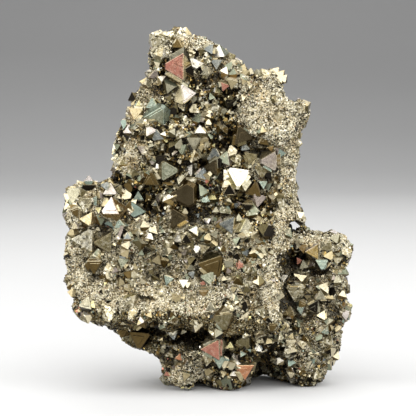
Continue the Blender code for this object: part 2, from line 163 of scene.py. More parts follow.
# Large crystals of the front, each given by the one face that it shows: where the middle of that
# face is seen in x and z, the crystal's edge, the way one corner of the face points (0 is right and
# 90 up, in degrees), how far the face turns to the right and up, and its tint. A second tint is that
# of the crystal's other faces, which are tinted at random where there is none. The given tints stand
# for tarnish and also for painted reflections, highlights and shade.
CRYSTALS = [
    (-13, 134, 11, 180, -12, 5, "rose"), (-9, 123, 9, 0, 35, 14, "pearl clay"),
    (-22, 113, 10.5, -60, -8, -6, "sage teal"), (-30.5, 115, 6.5, -95, -5, 28, "tan amber"),
    (-24.5, 107.5, 5, -120, 5, 30, "pearl"), (-21.5, 105, 5, -20, 0, 0, "blue"),
    (-13, 143.5, 5, 90, -10, 10, "brown"), (0.5, 141.5, 5, 60, -10, 20, "blue"),
    (4, 140, 6, 90, -20, 20, "white"), (9.5, 138.5, 5, 130, 25, 10, "olive"),
    (3.5, 135.5, 4.5, 30, 0, 5, "blue"), (-1.5, 132, 4.5, 80, -15, 5, "grey"),
    (7, 132.5, 4, -60, 20, 30, "white"), (6.5, 126, 4, 10, 0, -10, "rose"),
    (29.5, 130.5, 6.5, -75, 12, 22, "cream gold"), (9, 119, 5, 20, 10, -20, "dark olive"),
    (-3.5, 107.5, 5, 90, 5, 32, "white"), (14.5, 105, 8.5, -10, 0, -8, "bronze brown"),
    (15.5, 100.5, 4.5, 100, 0, 8, "blue"), (26, 100, 3, 45, 0, -25, "amber"),
    (-17, 90.5, 8, 0, 10, 0, "sage olive"), (-24, 86.5, 7, -30, -10, -4, "brown"),
    (-21, 93, 4, 0, -10, 30, "white"), (-10, 80, 11, -60, -4, -6, "bronze brown"),
    (-17, 80, 5.5, 0, -20, 30, "white gold"), (-1.5, 79, 5, 85, 0, 18, "teal"),
    (-2.5, 89, 6.5, -45, 5, 10, "blue"), (1.5, 92, 7.5, 60, -20, -5, "bronze brown"),
    (6.5, 95.5, 6.5, 70, -10, 15, "sage lilac"), (13, 88.5, 10, -100, 15, 30, "white straw"),
    (17.5, 96.5, 6.5, 20, -5, 12, "olive"), (26, 95, 8.5, 180, 10, 6, "lilac"),
    (19, 82.5, 7, 80, 0, -6, "brown dark"), (23, 85, 4, 30, 10, 15, "teal"),
    (16.5, 75.5, 5, -90, -5, -10, "dark"), (8.5, 68, 7.5, 55, -15, 6, "blue"),
    (-6, 65.5, 4, -60, -5, 32, "white"), (-5, 58, 4, -90, 5, 30, "white"),
    (13, 70.5, 4, 90, 10, 20, "grey"), (-50.5, 86, 6.5, -20, -10, 25, "blue"),
    (-43, 84, 4.5, 170, 0, 20, "blue"), (-41.5, 82.5, 6, 90, -5, 28, "pearl"),
    (-37.5, 82.5, 4, 60, 20, 0, "olive"), (-41, 75, 9, 92, -22, 22, "pearl amber"),
    (-51, 70.5, 6.5, -60, -15, 20, "tan brown"), (-52.5, 81.5, 4.5, 0, 5, -10, "olive"),
    (-57, 75.5, 4, -90, -35, 20, "brown"), (-55.5, 73, 5.5, -70, -20, -10, "brown"),
    (-29.5, 79.5, 4.5, -30, 10, 5, "teal"), (-48, 50.5, 6.5, -90, 5, -12, "brown"),
    (-34.5, 59.5, 4, 180, -10, 28, "cream"), (-36, 52, 5, 20, 5, 6, "sage"),
    (-23, 65.5, 4, -50, 10, 25, "cream"), (-25, 63, 4, 80, -10, 25, "white"),
    (-13, 61.5, 4, -30, -20, 5, "white"), (-9.5, 61.5, 4.5, 90, 15, -6, "dark"),
    (-10.5, 43.5, 5, -90, 0, 32, "white"), (-17, 44.5, 5, 10, 0, 10, "teal"),
    (-7, 47, 3, 45, 10, 5, "blue"), (-51.5, 34.5, 6.5, 80, -20, 25, "grey"),
    (-52, 61, 10, -60, -10, 8, "chalk clay"), (2, 50.5, 11.5, -70, -6, -6, "brown olive"),
    (13.5, 51, 4, -10, 5, 5, "rose"), (0, 45.5, 6, 170, 0, 12, "sage"), (-2, 43, 3, 60, 0, 0, "rose"),
    (-2, 39, 5, -90, -5, -10, "amber"), (6.5, 27, 9, -80, -4, -8, "olive brown"),
    (7, 31, 4, 0, 0, 30, "white"), (27, 24.5, 4, 20, 15, -8, "brown"),
    (2, 14.5, 10, 60, -10, -10, "rose"), (4.5, 10, 6, 30, 5, 6, "teal"),
    (15.5, 6, 8, -90, 6, -8, "copper"), (15, 18, 6.5, -60, 0, -10, "olive"),
    (9, 16.5, 3.5, -30, 0, 10, "straw"), (21, 15.5, 4, 80, 20, 15, "white"),
    (14.5, 13, 3, 0, 0, 10, "teal"), (-12.5, 11.5, 3.5, -45, -5, 0, "copper"),
    (-17.5, 4.5, 3.5, -30, -30, -5, "rose"), (-29.5, 19.5, 9, -95, -8, -10, "brown dark"),
    (-36.5, 22, 4, 150, -20, 5, "brown"), (48, 51.5, 5.5, 30, 5, 12, "teal"),
    (38.5, 45, 6.5, -100, 0, 26, "cream"), (37, 39.5, 9, -90, -5, -8, "clay gold"),
    (40, 50.5, 4.5, -20, -5, 0, "grey"), (49, 41.5, 6, -70, 5, 28, "cream"),
    (54.5, 44.5, 4, 90, 20, 20, "grey"), (31.5, 45.5, 4, -90, -10, 30, "white"),
    (39.5, 34, 4, 0, 0, -5, "brown"), (39, 32, 4, -80, -5, 10, "teal"),
    (44.5, 33, 5.5, 60, 5, -12, "dark"), (48, 29.5, 4, -60, 5, 25, "cream"),
    (58, 29.5, 4, -80, 25, 0, "pearl"), (54.5, 24.5, 4, 0, 20, 20, "tan"),
    (54, 12.5, 4.5, -60, 30, 15, "cream"), (35, 17.5, 5, -90, 0, 6, "cream"),
    (30, 10, 3.5, 0, -10, 15, "white"), (35, 9.5, 4, 120, 0, 15, "teal"),
    (35, 4, 3.5, -90, 0, -10, "cream"), (38, 52.5, 3.5, 0, -10, -20, "rose"),
    (44.5, 56.5, 6.5, -60, 5, 5, "gold"), (39.5, 58, 4.5, 40, -10, -15, "amber"),
    (50, 58.5, 4.5, 80, 10, -10, "olive"),
]
# How far the shown face of a large crystal stands out from the block, in edges
FACE_STANDS_OUT = 0.30

# More crystals of the front in the same terms, which stand out less. They are too flat for the solid.
MORE_CRYSTALS = [
    (-5.2, 135.5, 6, 120, 25, 35, "white dark"), (-7.5, 132.5, 6, -60, 15, -8, "dark"),
    (-21.5, 144.5, 8, 135, -5, -6, "clay"), (-16.5, 146.5, 7, 45, 0, 18, "sand"),
    (-11.5, 147.5, 5.5, 90, 0, 20, "chalk"),
    (-22.5, 130.5, 5, 200, -15, 0, "lilac"), (-19.5, 129.2, 4, -90, 0, 40, "white"),
    (-23.5, 118.3, 5, 90, -10, 12, "teal"), (-29, 118.5, 3, 90, 0, 10, "straw"),
    (-33.5, 107.5, 4.5, 90, -20, 15, "pearl"), (-6, 102.5, 6, -90, 5, 0, "grey olive"),
    (23.5, 103, 5, 80, 0, -5, "brown"), (2.5, 97, 6, 90, -5, 5, "blue"),
    (22.5, 91, 6, -90, 0, 5, "olive"), (8.5, 82.3, 5, 90, 0, 5, "dark"),
    (7.5, 85.3, 4.5, 100, 0, 25, "cream"), (8, 89, 5, 0, 0, 15, "chalk"),
    (-8.5, 91.5, 6, 60, -5, 8, "white"), (-12, 87.5, 5, -100, 0, 15, "grey"),
    (-7.5, 86, 6, 30, 0, 5, "clay"), (-13.5, 70.5, 8, -120, -5, 5, "bronze brown"),
    (3.2, 74, 3, 90, 0, 20, "grey"), (16, 67, 7, 90, 10, 10, "grey"),
    (-50, 83, 6, -90, -5, -20, "dark"), (-56.5, 81, 8, 150, -25, 15, "grey"),
    (-52, 76.5, 8, -90, -10, 10, "clay"), (-48, 78, 4, 60, -5, 10, "teal"),
    (-46.3, 74.3, 3, -90, 0, 25, "straw"), (-31.5, 77.3, 3.5, 45, 0, 20, "cream"),
    (-37.5, 68, 4.5, -20, 0, 10, "teal"), (-43.5, 60.5, 8, 60, 0, 8, "olive"),
    (-34, 62.8, 4, 90, 0, 20, "blue"), (-26.5, 57, 4.5, 0, 0, 0, "dark"),
    (1, 33, 4, 90, -10, 10, "grey"), (8, 33, 5, 90, 0, 25, "clay"),
    (5.6, 10.2, 5.5, 5, 0, 8, "teal"), (10.8, 4.8, 4, 90, -20, 25, "white"),
    (18.3, 6.5, 4, -90, 25, 15, "tan"),
    (47.5, 37.5, 5, 90, 10, 0, "grey"),
]
# How far the shown face of these stands out from the block, in edges
MORE_STAND_OUT = 0.2

# Fracture surfaces with only fine grains, seen from the front: middle x, z and half sizes
BARE_PATCHES = [(27, 115, 14, 12), (-6, 38, 50, 7), (19, 44, 13, 15), (-52, 46, 9, 12), (46, 63, 14, 4)]

# Scattered crystals: seed, number, smallest and largest edge, whether on the front
SCATTERS = [(7, 70, 3.0, 5.5, True), (23, 8, 7.0, 10.0, False), (19, 24, 3.0, 6.0, False)]
# The least and most that their middle lies below the surface, in edges
SCATTER_SUNK = (0.08, 0.33)
# A surface whose normal has a y under this is part of the front.
FRONT_FACING = 0.1

# The finer skin of the block: its crumbs rise and sink about their middle level.
FINE_VOXEL = 0.85
CRUMB_SIZE = 1.5
CRUMB_HEIGHT = 0.8
CRUMB_MIDDLE = 0.45

# The small holes of the crust lie where noise is above a level: its waves as (size, strength), the
# level, how steeply the holes begin there, and their depth
HOLE_WAVES = [(2.0, 1.0), (2.0 / 2.1, 0.5)]
HOLE_LEVEL = 0.16
HOLE_STEEPNESS = 5
HOLE_DEPTH = 0.6
# How deep the skin sinks in the dark gaps between the crystals
GAP_DEPTH = 1.6

# Rays that feel how much of the air is free: their number, start above the surface, and length.
# The first find the block's hollows, the second the gaps between its crystals; where less air is free,
# the tints get painted shade.
OPEN_RAYS = (32, 0.5, 22.0)
GAP_RAYS = (9, 0.5, 5.0)
RAY_SEED = 5

# The seed of all that is random in the small crystals, the grains and the faces
SEED = 11

# Base colours of the faces and the grains. They are the pyrite's tarnish and crust, and partly painted
# light: white and cream serve partly as painted highlights and glints, rose, copper, teal, blue and lilac
# partly as painted reflections, and dark partly as painted shade.
TINTS = {
    "white": (0.71, 0.67, 0.58),
    "cream": (0.53, 0.47, 0.32),
    "pearl": (0.46, 0.415, 0.38),
    "straw": (0.48, 0.43, 0.21),
    "tan": (0.39, 0.325, 0.185),
    "grey": (0.28, 0.26, 0.18),
    "sage": (0.20, 0.215, 0.15),
    "teal": (0.20, 0.25, 0.205),
    "blue": (0.15, 0.165, 0.16),
    "lilac": (0.24, 0.20, 0.17),
    "rose": (0.42, 0.17, 0.12),
    "copper": (0.46, 0.20, 0.10),
    "gold": (0.40, 0.28, 0.095),
    "amber": (0.24, 0.15, 0.05),
    "olive": (0.125, 0.103, 0.047),
    "brown": (0.105, 0.07, 0.022),
    "dark": (0.007, 0.005, 0.002),
    "chalk": (0.72, 0.675, 0.53),
    "sand": (0.46, 0.41, 0.27),
    "clay": (0.26, 0.225, 0.135),
    "bronze": (0.05, 0.038, 0.018),
}
TINT_NAMES = list(TINTS)
# Crystals with a first tint out of these are crusted all over, or not at all.
DULL_TINTS = ("chalk", "sand", "clay")
CLEAN_TINTS = ("dark", "brown", "bronze")
# How much crust the others have that are given a tint, and the share of the rest that is crusted
LITTLE_CRUST = 0.2
CRUSTED = 0.4

# Shares of the tints, for crystal faces by the way that they face and by where they are, and for grains
# by where they are. Faces that face up get paler tints and faces that face down darker ones, as painted
# light and shade, and the palettes for deep places and for shaded grains are painted shade.
FACES_UP = {
    "white": 0.5, "cream": 7, "pearl": 1, "straw": 1, "tan": 6, "grey": 4, "sage": 2, "olive": 2,
    "rose": 0.04,
}
FACES_ACROSS = {
    "cream": 3.5, "tan": 5.5, "grey": 7, "sage": 5, "teal": 1.2, "blue": 1, "lilac": 2.5, "rose": 0.05,
    "gold": 0.6, "olive": 5, "brown": 4.5, "dark": 8,
}
FACES_DOWN = {"tan": 2, "olive": 6, "brown": 8, "dark": 10, "amber": 1, "gold": 0.7, "rose": 0.03}
FACES_PAINTED_SHADE = {"dark": 14, "brown": 5, "olive": 3, "amber": 0.7, "gold": 0.6, "teal": 0.2}
FACES_PALE = {"cream": 6, "tan": 6, "grey": 5, "sage": 2, "olive": 2}
GRAINS_PALE = {
    "chalk": 14, "sand": 6, "clay": 3, "white": 2.6, "cream": 4, "tan": 2, "sage": 0.8, "olive": 2.2,
    "dark": 3, "teal": 0.5, "rose": 0.2,
}
GRAINS_MIXED = {
    "white": 1, "cream": 3, "straw": 1.5, "tan": 4.5, "grey": 4, "sage": 2, "teal": 1, "blue": 0.3,
    "lilac": 0.8, "rose": 0.3, "gold": 1.5, "amber": 1.2, "olive": 9, "brown": 8, "dark": 12,
}
GRAINS_SPECKLED = {
    "chalk": 5, "sand": 5, "clay": 4, "tan": 3, "grey": 2.5, "olive": 5, "dark": 14, "brown": 3,
    "cream": 5, "sage": 2, "white": 3, "gold": 0.6, "teal": 1, "rose": 0.3,
}
GRAINS_SHADED = {
    "olive": 9, "clay": 7, "brown": 5, "grey": 4, "dark": 2.5, "tan": 1, "sand": 1.5, "rose": 0.1,
}
GRAINS_PAINTED_SHADE = {
    "dark": 30, "brown": 6, "olive": 3, "amber": 1.5, "gold": 1.2, "straw": 0.4, "rose": 0.1, "tan": 0.3,
}
# A face whose normal has a z farther from 0 than this faces up or down.
UP_FACING = 0.35
# A place with less free air than this is deep. This share of the faces there gets a tint of the dark palette
# for hollows, as painted shade.
DEEP = 0.62
PAINTED_SHADE_SHARE = 0.7
# The darkest and the palest that a face is, as shares of its tint, and the most that a colour may be
FACE_SHADES = (0.88, 1.08)
PALEST = 0.97
# Worn edges and cut corners have the colour of the faces beside them, times the first, plus the second,
# which makes them paler as a painted highlight.
EDGE_HIGHLIGHT_PALER = 1.15
EDGE_HIGHLIGHT_ADDS = 0.02

# In edges of the crystal: how far a face may lie out of place, how far corners are cut off at most and
# at least, and how much is worn off the edges of the large ones
LARGE_UNEVEN, LARGE_BLUNT, LARGE_WORN = 0.14, 0.2, 0.01
SMALL_UNEVEN, SMALL_BLUNT = 0.24, 0.2
LEAST_CUT = 0.015
# How far the growth lines of one face may be shifted from those of the next, in mm
LINES_SHIFT = 100

# Growth steps are plates on a large crystal: the least and most of them, the share that has to be on
# the shown face, their edges and heights in edges of the crystal, and how much of the room round them
# they may move aside
PLATES = (1, 3)
PLATES_ON_SHOWN_FACE = 0.4
PLATE_EDGES = (0.35, 0.82)
PLATE_HEIGHTS = (0.012, 0.035)
PLATE_ASIDE = 0.33

# The smaller crystals grown together with a large one: the most of them, their edges and how far aside
# they are in edges of the large one, and how far out they are, where 1 is level with its shown face
SIDE_CRYSTALS = 3
SIDE_EDGES = (0.4, 0.7)
SIDE_AWAY = (0.22, 0.42)
SIDE_OUT = (0.55, 1.0)

# How exactly planes meet in a crystal with an edge of 1: the least determinant of three that meet, how
# far a point may be outside or off a plane, and the decimals by which equal points are told
LEAST_DETERMINANT = 1e-6
OUTSIDE = 1e-7
OFF_PLANE = 3e-5
DECIMALS = 5

# Areas of the front as ovals seen from there: middle x, z and half sizes. Before them stand the size
# and the strength of the waves in their borders.
AREAS = {
    # Granular patches with hardly any crystals
    "pale": (6.0, 0.7, [
        (29, 117, 17, 16), (-20, 142, 6, 6), (-6, 145, 10, 4), (35, 87, 5, 22), (27, 45, 5, 18),
        (-24, 41, 36, 6.5), (-2, 36, 12, 3.5), (-56, 51, 6, 14), (48, 62, 14, 4), (33, 70, 6, 10),
        (-9, 7, 10, 5), (-33, 96, 5, 6), (31, 50, 4, 22), (-55, 77, 9, 12),
    ]),
    # Speckled areas, with fewer crystals
    "speckled": (5.0, 1.0, [
        (-12, 59, 42, 16), (-48, 66, 15, 24), (-27, 120, 8, 14), (24, 97, 9, 16), (6, 132, 16, 8),
        (44, 40, 14, 20), (18, 46, 11, 14), (44, 16, 15, 13), (-10, 12, 11, 9), (-31, 100, 7, 7),
    ]),
    # The underside of the ledge, where grains get painted shade
    "shaded": (4.0, 1.0, [
        (-22, 29.5, 34, 4.5), (6, 27.5, 24, 4), (-46, 30.5, 10, 4), (-30, 20, 9, 6),
    ]),
    # Gaps between the crystals, darkened by painted shade
    "gap": (3.0, 1.2, [
        (-3, 128.5, 6, 2.5), (-20.5, 124.5, 3, 3), (-17.5, 131.5, 4, 1.2), (-31, 106.5, 2.5, 1.8),
        (-9, 115.5, 5, 2), (8.5, 118.5, 3, 2.5), (5, 112, 4, 2), (8, 103, 9, 4), (20, 98.5, 7, 2),
        (2.5, 129.5, 3, 2), (8, 124, 4, 4), (-12, 94.5, 6, 2), (14, 79.5, 4, 3), (-4, 73.5, 7, 4),
        (8, 74, 6, 2.5), (-24, 76.5, 5, 3.5), (19, 77.5, 4, 2), (-38, 87.5, 2.5, 2.5), (-29, 82.5, 4, 2.5),
        (-42.5, 69, 4, 3.5), (-47, 54.5, 4, 1.8), (-46, 48.5, 3, 1.5), (-32, 57, 2, 2), (-7, 22, 7, 3),
        (9, 17, 4, 4), (5, 22, 8, 2.5), (-26, 40, 3, 1), (-22, 28, 3, 3), (-31, 25, 7, 2), (24, 9, 4, 9),
        (36, 55, 6, 5), (34, 37, 5, 7), (44, 38, 4, 3), (46, 49, 4, 2), (37, 31, 6, 3), (52, 30, 3, 4),
        (26, 16, 3, 3), (30, 12, 4, 5), (-16, 15, 4, 4), (33, 25, 5, 2),
    ]),
}
# How much of an area a place is in: AREA_CORE in the oval's middle, AREA_FALL less on its border, and
# never more than 1 or less than 0
AREA_CORE, AREA_FALL = 2.0, 1.5
# Behind, these areas lie where noise is above a level: its waves as (size, strength), the level, and
# how steeply the area begins there
BEHIND = {
    "pale": ([(22.0, 1.0), (6.0, 0.17)], 0.10, 5),
    "speckled": ([(5.0, 1.0)], 0.0, 1.5),
}

# Small crystals stand at random places, of which so many are tried.
SMALL_TRIES = 9000
# Their least, most usual and largest edge, and how much smaller they are in speckled areas
SMALL_EDGES = (1.4, 2.4, 7.5)
SMALLER_IN_SPECKLE = 0.18
# The share that is kept in each kind of area, on the back, and on the rim, where the y of the surface's
# normal is nearer to 0 than RIM_FACING
SMALL_KEPT = {"pale": 0.06, "speckled": 0.62, "gap": 0.25, "shaded": 0.12}
SMALL_BEHIND = 0.65
SMALL_ON_RIM = 0.35
RIM_FACING = 0.4
# The least and most that their middle lies below the surface, and the least that it lies above the
# floor, in edges
SMALL_SUNK = (0.08, 0.42)
SMALL_ABOVE_FLOOR = 0.3
# The least way between the middles of two crystals, as a share of both edges together
SMALL_APART = 0.22
# Each is turned at random so often, and lies as in the turn in which a face looks out best.
SMALL_TURNS = 2
# None starts inside a large crystal grown by this factor.
CLEAR_OF_LARGE = 1.08

# Grains are tried at so many random places, and this share of them is kept on the back.
GRAINS = 250000
GRAINS_BEHIND = 0.6
# Their least, most usual and largest edge, for grains between the crystals and in granular areas, and
# how much narrower or wider they may be in each direction
GRAIN_EDGES = (0.4, 0.6, 1.7)
FINE_GRAIN_EDGES = (0.3, 0.45, 0.85)
GRAIN_STRETCH = (0.7, 1.25)
# The lowest height of a grain, and how many pieces they are shared out to
GRAIN_FLOOR = 0.35
GRAIN_PIECES = 4
# None starts inside a large or a small crystal grown by these factors.
GRAINS_CLEAR_OF_LARGE = 1.12
GRAINS_CLEAR_OF_SMALL = 0.95
# The share of pale grains in granular patches: its middle, the size and strength of its waves, and the
# least that it can be
MOTTLE_MIDDLE = 0.85
MOTTLE_SIZE = 7.0
MOTTLE_STRENGTH = 1.1
MOTTLE_LEAST = 0.4
# As painted shade, grains get a tint of the dark palette for hollows where the air over the block is less
# free than DEEP, or that between the crystals less free than GAP: the more of them the less free it is,
# and all at so much less.
DEEP_SPAN = 0.2
GAP = 0.92
GAP_SPAN = 0.35
# How much of that is kept from pale and speckled grains
PALE_STAYS = 0.5
SPECKLE_STAYS = 0.4
# The share of shaded grains in holes, and of dark ones in gaps and where the surface faces down, all as
# painted shade
HOLE_SHADED = 0.6
GAP_DARK = 0.9
DOWN_DARK = 0.55
DOWN_STEEPNESS = 1.5

# How much less open the skin is taken for in gaps and holes, which darkens it there as painted shade,
# and how much pale crust it has in speckled areas
GAP_SHADE = 0.6
HOLE_SHADE = 0.3
SPECKLE_CRUST = 0.55

# The materials: how metallic they are, how rough the grains are, and what their tints are mixed with
METALLIC, DULL_METALLIC = 0.86, 0.5
GRAIN_ROUGH, DULL_ROUGH = 0.28, 0.42
TARNISH = (0.55, 0.50, 0.36)
PITS = (0.05, 0.04, 0.022)
STAIN = (0.75, 0.62, 0.42)
# The specks of the crusts as tints, each from its own share of them on
FACE_GRIT = [(0.0, "dark"), (0.1, "olive"), (0.25, "clay"), (0.45, "sand"), (0.75, "chalk")]
SKIN_GRIT = [(0.0, "dark"), (0.06, "olive"), (0.16, "clay"), (0.36, "sand"), (0.68, "chalk")]
BARE_GRIT = [(0.0, "dark"), (0.35, "brown"), (0.6, "olive"), (0.85, "grey"), (0.97, "tan")]
# Patterns of noise: waves to the metre, the low and the high value that are told apart, and how much of
# something there is at each of the two
TARNISH_PATTERN = (260, 0.5, 0.75, 0, 0.6)
CRUST_PATTERN = (300, 0.38, 0.55, 0, 0.85)
STAIN_PATTERN = (120, 0.45, 0.7, 0, 1)
SKIN_ROUGH_PATTERN = (600, 0.3, 0.7, 0.4, 0.75)
PAPER_PATTERN = (3, 0.3, 0.7, 0.97, 1)
# The same without what there is at each of the two, and with the noise's detail and roughness
PITS_NOISE, PITS_SPREAD = (1500, 2, 0.7), (0.66, 0.72)
POLISH_NOISE, POLISH_SPREAD = (420, 4), (0.35, 0.68)
# The growth lines, which run along one edge of each face: waves to the millimetre, and their detail
LINES_NOISE = {"Scale": 3.2, "Detail": 2.5}
# Cells to the metre of the grit on the faces and on the skin, and of the skin's crumbs
FACE_CELLS, SKIN_CELLS, CRUMB_CELLS = 1300, 1900, 1100
# Relief: its height in metres, and its strength
LINES_RELIEF = (0.00012, 0.55)
PITS_RELIEF = (0.0001, 0.35)
CRUMBS_RELIEF = (0.0004, 0.6)
# The skin's painted shade goes from the third to the fourth value as its openness goes from the first
# to the second, and so does how metallic it is as it has more of the pale crust.
PAINTED_SHADE_SPREAD = (0.3, 0.7, 0.9, 0)
METAL_SPREAD = (0, 1, 0.75, 0.3)

# The colour of the light all round, and the paper floor: its colour, how rough it is, and in metres its
# front edge, half its width, its top, and the sweep that leads up to it
WORLD = (0.11, 0.11, 0.115)
PAPER = (0.52, 0.52, 0.516)
PAPER_ROUGH = 0.9
PAPER_FRONT = -3.0
PAPER_HALF_WIDTH = 4
PAPER_TOP = 4.0
SWEEP_FROM = 1.0
SWEEP_SIZE = 1.2
SWEEP_STEPS = 12

# The camera of the photograph: where it looks, in metres, how steeply down, in degrees, and from how
# far away, the width of its sensor in mm, that of its frame in pixels, and that of a pixel at the
# specimen in mm
TARGET = (0, 0, 0.075)
CAMERA_UP = 5.2
CAMERA_AWAY = 0.75
SENSOR = 36
FRAME_PIXELS = 416
PIXEL = 0.419

# Lamps: name, azimuth, elevation, distance, width, height, power
LAMPS = [
    ("key", -15, 56, 1.0, 2.0, 1.4, 21),
    ("left_side", -80, 20, 0.8, 0.7, 0.9, 7),
    ("right_side", 75, 25, 0.8, 0.7, 0.9, 7),
    ("front", 12, 20, 1.4, 0.9, 0.9, 5),
    ("back", 170, 50, 1.0, 1.0, 0.8, 7),
]


def new_object(name, data):
    made = bpy.data.objects.new(name, data)
    bpy.context.scene.collection.objects.link(made)
    return made


def object_from(bm, name):
    mesh = bpy.data.meshes.new(name)
    bm.to_mesh(mesh)
    bm.free()
    return new_object(name, mesh)


def evaluated_mesh(obj, name):
    """The object's mesh with its modifiers applied, as a mesh of its own."""
    bpy.context.view_layer.update()
    graph = bpy.context.evaluated_depsgraph_get()
    mesh = bpy.data.meshes.new_from_object(obj.evaluated_get(graph))
    mesh.name = name
    return mesh


def add_lump(bm, outline, back, front, lean_x, lean_z):
    """A closed block: the outline at each level of LUMP_LEVELS, from the back to the front."""
    middle_x = sum(x for x, z in outline) / len(outline)
    middle_z = sum(z for x, z in outline) / len(outline)
    rings = []
    for depth, share in LUMP_LEVELS:
        ring = []
        for x, z in outline:
            off_x, off_z = share * (x - middle_x), share * (z - middle_z)
            y = back + depth * (front - back + lean_x * off_x + lean_z * off_z)
            ring.append(bm.verts.new(Vector((middle_x + off_x, y, middle_z + off_z)) * MM))
        rings.append(ring)
    count = len(outline)
    for back_ring, front_ring in zip(rings, rings[1:]):
        for i in range(count):
            j = (i + 1) % count
            bm.faces.new((back_ring[i], back_ring[j], front_ring[j], front_ring[i]))
    bm.faces.new(rings[0][::-1])
    bm.faces.new(rings[-1])


def lumps_object():
    bm = bmesh.new()
    for lump in LUMPS.values():
        add_lump(bm, *lump)
    bmesh.ops.recalc_face_normals(bm, faces=bm.faces)
    bmesh.ops.triangulate(bm, faces=bm.faces)
    return object_from(bm, "lumps")


def pockets_object():
    bm = bmesh.new()
    for x, y, z, half_x, half_y, half_z, turn in POCKETS:
        place = (
            Matrix.Translation(Vector((x, y, z)) * MM)
            @ Matrix.Rotation(math.radians(turn), 4, "Y")
            @ Matrix.Diagonal((half_x * MM, half_y * MM, half_z * MM, 1))
        )
        bmesh.ops.create_icosphere(bm, subdivisions=2, radius=1, matrix=place)
    window = (
        Matrix.Translation(Vector((WINDOW_X, 0, WINDOW_Z)) * MM)
        @ Matrix.Rotation(math.pi / 2, 4, "X")
        @ Matrix.Diagonal((WINDOW_WIDTH / 2 * MM, WINDOW_HEIGHT / 2 * MM, MM, 1))
    )
    bmesh.ops.create_cone(
        bm, cap_ends=True, segments=WINDOW_SIDES, radius1=1, radius2=1, depth=WINDOW_DEPTH, matrix=window
    )
    return object_from(bm, "pockets")


def apply_remesh(obj, voxel):
    remesh = obj.modifiers.new("one skin", "REMESH")
    remesh.mode = "VOXEL"
    remesh.voxel_size = voxel * MM
    mesh = evaluated_mesh(obj, obj.name)
    obj.modifiers.clear()
    obj.data = mesh


def roughen(mesh):
    """Moves the surface along its normals by coarse lumps, the steps of broken rock, and grit."""
    turn = Euler([math.radians(angle) for angle in STEP_TURN]).to_matrix()
    normals = [Vector(v.normal) for v in mesh.vertices]
    for v, normal in zip(mesh.vertices, normals):
        from_window = math.hypot(v.co.x / MM - WINDOW_X, v.co.z / MM - WINDOW_Z)
        share = min(1, (from_window / WINDOW_CALM) ** 2)
        lumps = LUMP_HEIGHT * noise.noise(v.co / (LUMP_SIZE * MM))
        steps = STEP_HEIGHT * (noise.cell(turn @ v.co / (STEP_SIZE * MM)) - 0.5)
        grit = GRIT_HEIGHT * (0.5 - noise.voronoi(v.co / (GRIT_SIZE * MM))[0][0])
        v.co += normal * (share * (lumps + steps + grit) - SURFACE_DROP) * MM


def block_objects():
    """The block's skin with all its faces, and the block with the few faces that its solid has."""
    block = lumps_object()
    apply_remesh(block, VOXEL)
    pockets = pockets_object()
    apply_remesh(pockets, POCKET_VOXEL)
    cut = block.modifiers.new("pockets", "BOOLEAN")
    cut.operation = "DIFFERENCE"
    cut.object = pockets
    block.data = evaluated_mesh(block, "block")
    block.modifiers.clear()
    bpy.data.objects.remove(pockets)
    apply_remesh(block, VOXEL)
    roughen(block.data)
    apply_remesh(block, VOXEL)
    skin = new_object("matrix", block.data.copy())
    thin = block.modifiers.new("fewer faces", "DECIMATE")
    thin.ratio = BLOCK_FACES / (2 * len(block.data.polygons))
    block.data = evaluated_mesh(block, "block")
    block.modifiers.clear()
    return skin, block


def large_crystals(tree, rows, stands_out):
    """The crystals of these rows as (centre, axes, edge, tint), in metres."""
    made = []
    for x, z, edge, point, turn_right, turn_up, tint in rows:
        normal, axes = axes_showing(point, turn_right, turn_up)
        surface, sight = surface_in_sight(tree, x, z)
        face_middle = surface - sight * stands_out * edge * MM
        centre = face_middle - normal * (edge / math.sqrt(6)) * MM
        made.append((centre, axes, edge * MM, tint))
    return made


def scattered_crystals(block, made, seed, number, smallest, largest, in_front):
    """Adds crystals at random places of the block, clear of the middles of those made before."""
    dice = random.Random(seed)
    triangles = list(block.data.loop_triangles)
    areas = [triangle.area for triangle in triangles]
    verts = block.data.vertices
    wanted = len(made) + number
    while len(made) < wanted:
        triangle = dice.choices(triangles, areas)[0]
        a, b, c = (verts[i].co for i in triangle.vertices)
        u, v = sorted((dice.random(), dice.random()))
        place = a * u + b * (v - u) + c * (1 - v)
        edge = dice.uniform(smallest, largest)
        is_front = triangle.normal.y < FRONT_FACING
        crowded = any((place - other).length < 0.5 * (edge * MM + size) for other, _, size, _ in made)
        on_bare = oval_reach(place.x / MM, place.z / MM, BARE_PATCHES) < 1
        if crowded or is_front != in_front or (in_front and on_bare):
            continue
        turn = Euler([dice.uniform(0, math.tau) for _ in range(3)]).to_matrix()
        centre = place - triangle.normal * dice.uniform(*SCATTER_SUNK) * edge * MM
        made.append((centre, [turn.col[i] for i in range(3)], edge * MM, None))


def axes_showing(point, turn_right, turn_up):
    """The outward normal of the shown face, and the crystal's three axes."""
    turn = Matrix.Rotation(math.radians(turn_right), 3, "Z") @ Matrix.Rotation(
        math.radians(-turn_up), 3, "X"
    )
    normal = turn @ Vector((0, -1, 0))
    corner = turn @ Vector((math.cos(math.radians(point)), 0, math.sin(math.radians(point))))
    axes = []
    for third in range(3):
        spoke = Matrix.Rotation(third * math.tau / 3, 3, normal) @ corner
        axes.append(normal * math.sqrt(1 / 3) + spoke * math.sqrt(2 / 3))
    return normal, axes


def surface_in_sight(tree, x, z):
    """The point of the block that is seen at x, z, or the nearest one to it, and the line of sight."""
    eye, through = Vector(EYE) * MM, Vector((x, 0, z)) * MM
    sight = (through - eye).normalized()
    return tree.ray_cast(eye, sight)[0] or tree.find_nearest(through)[0], sight


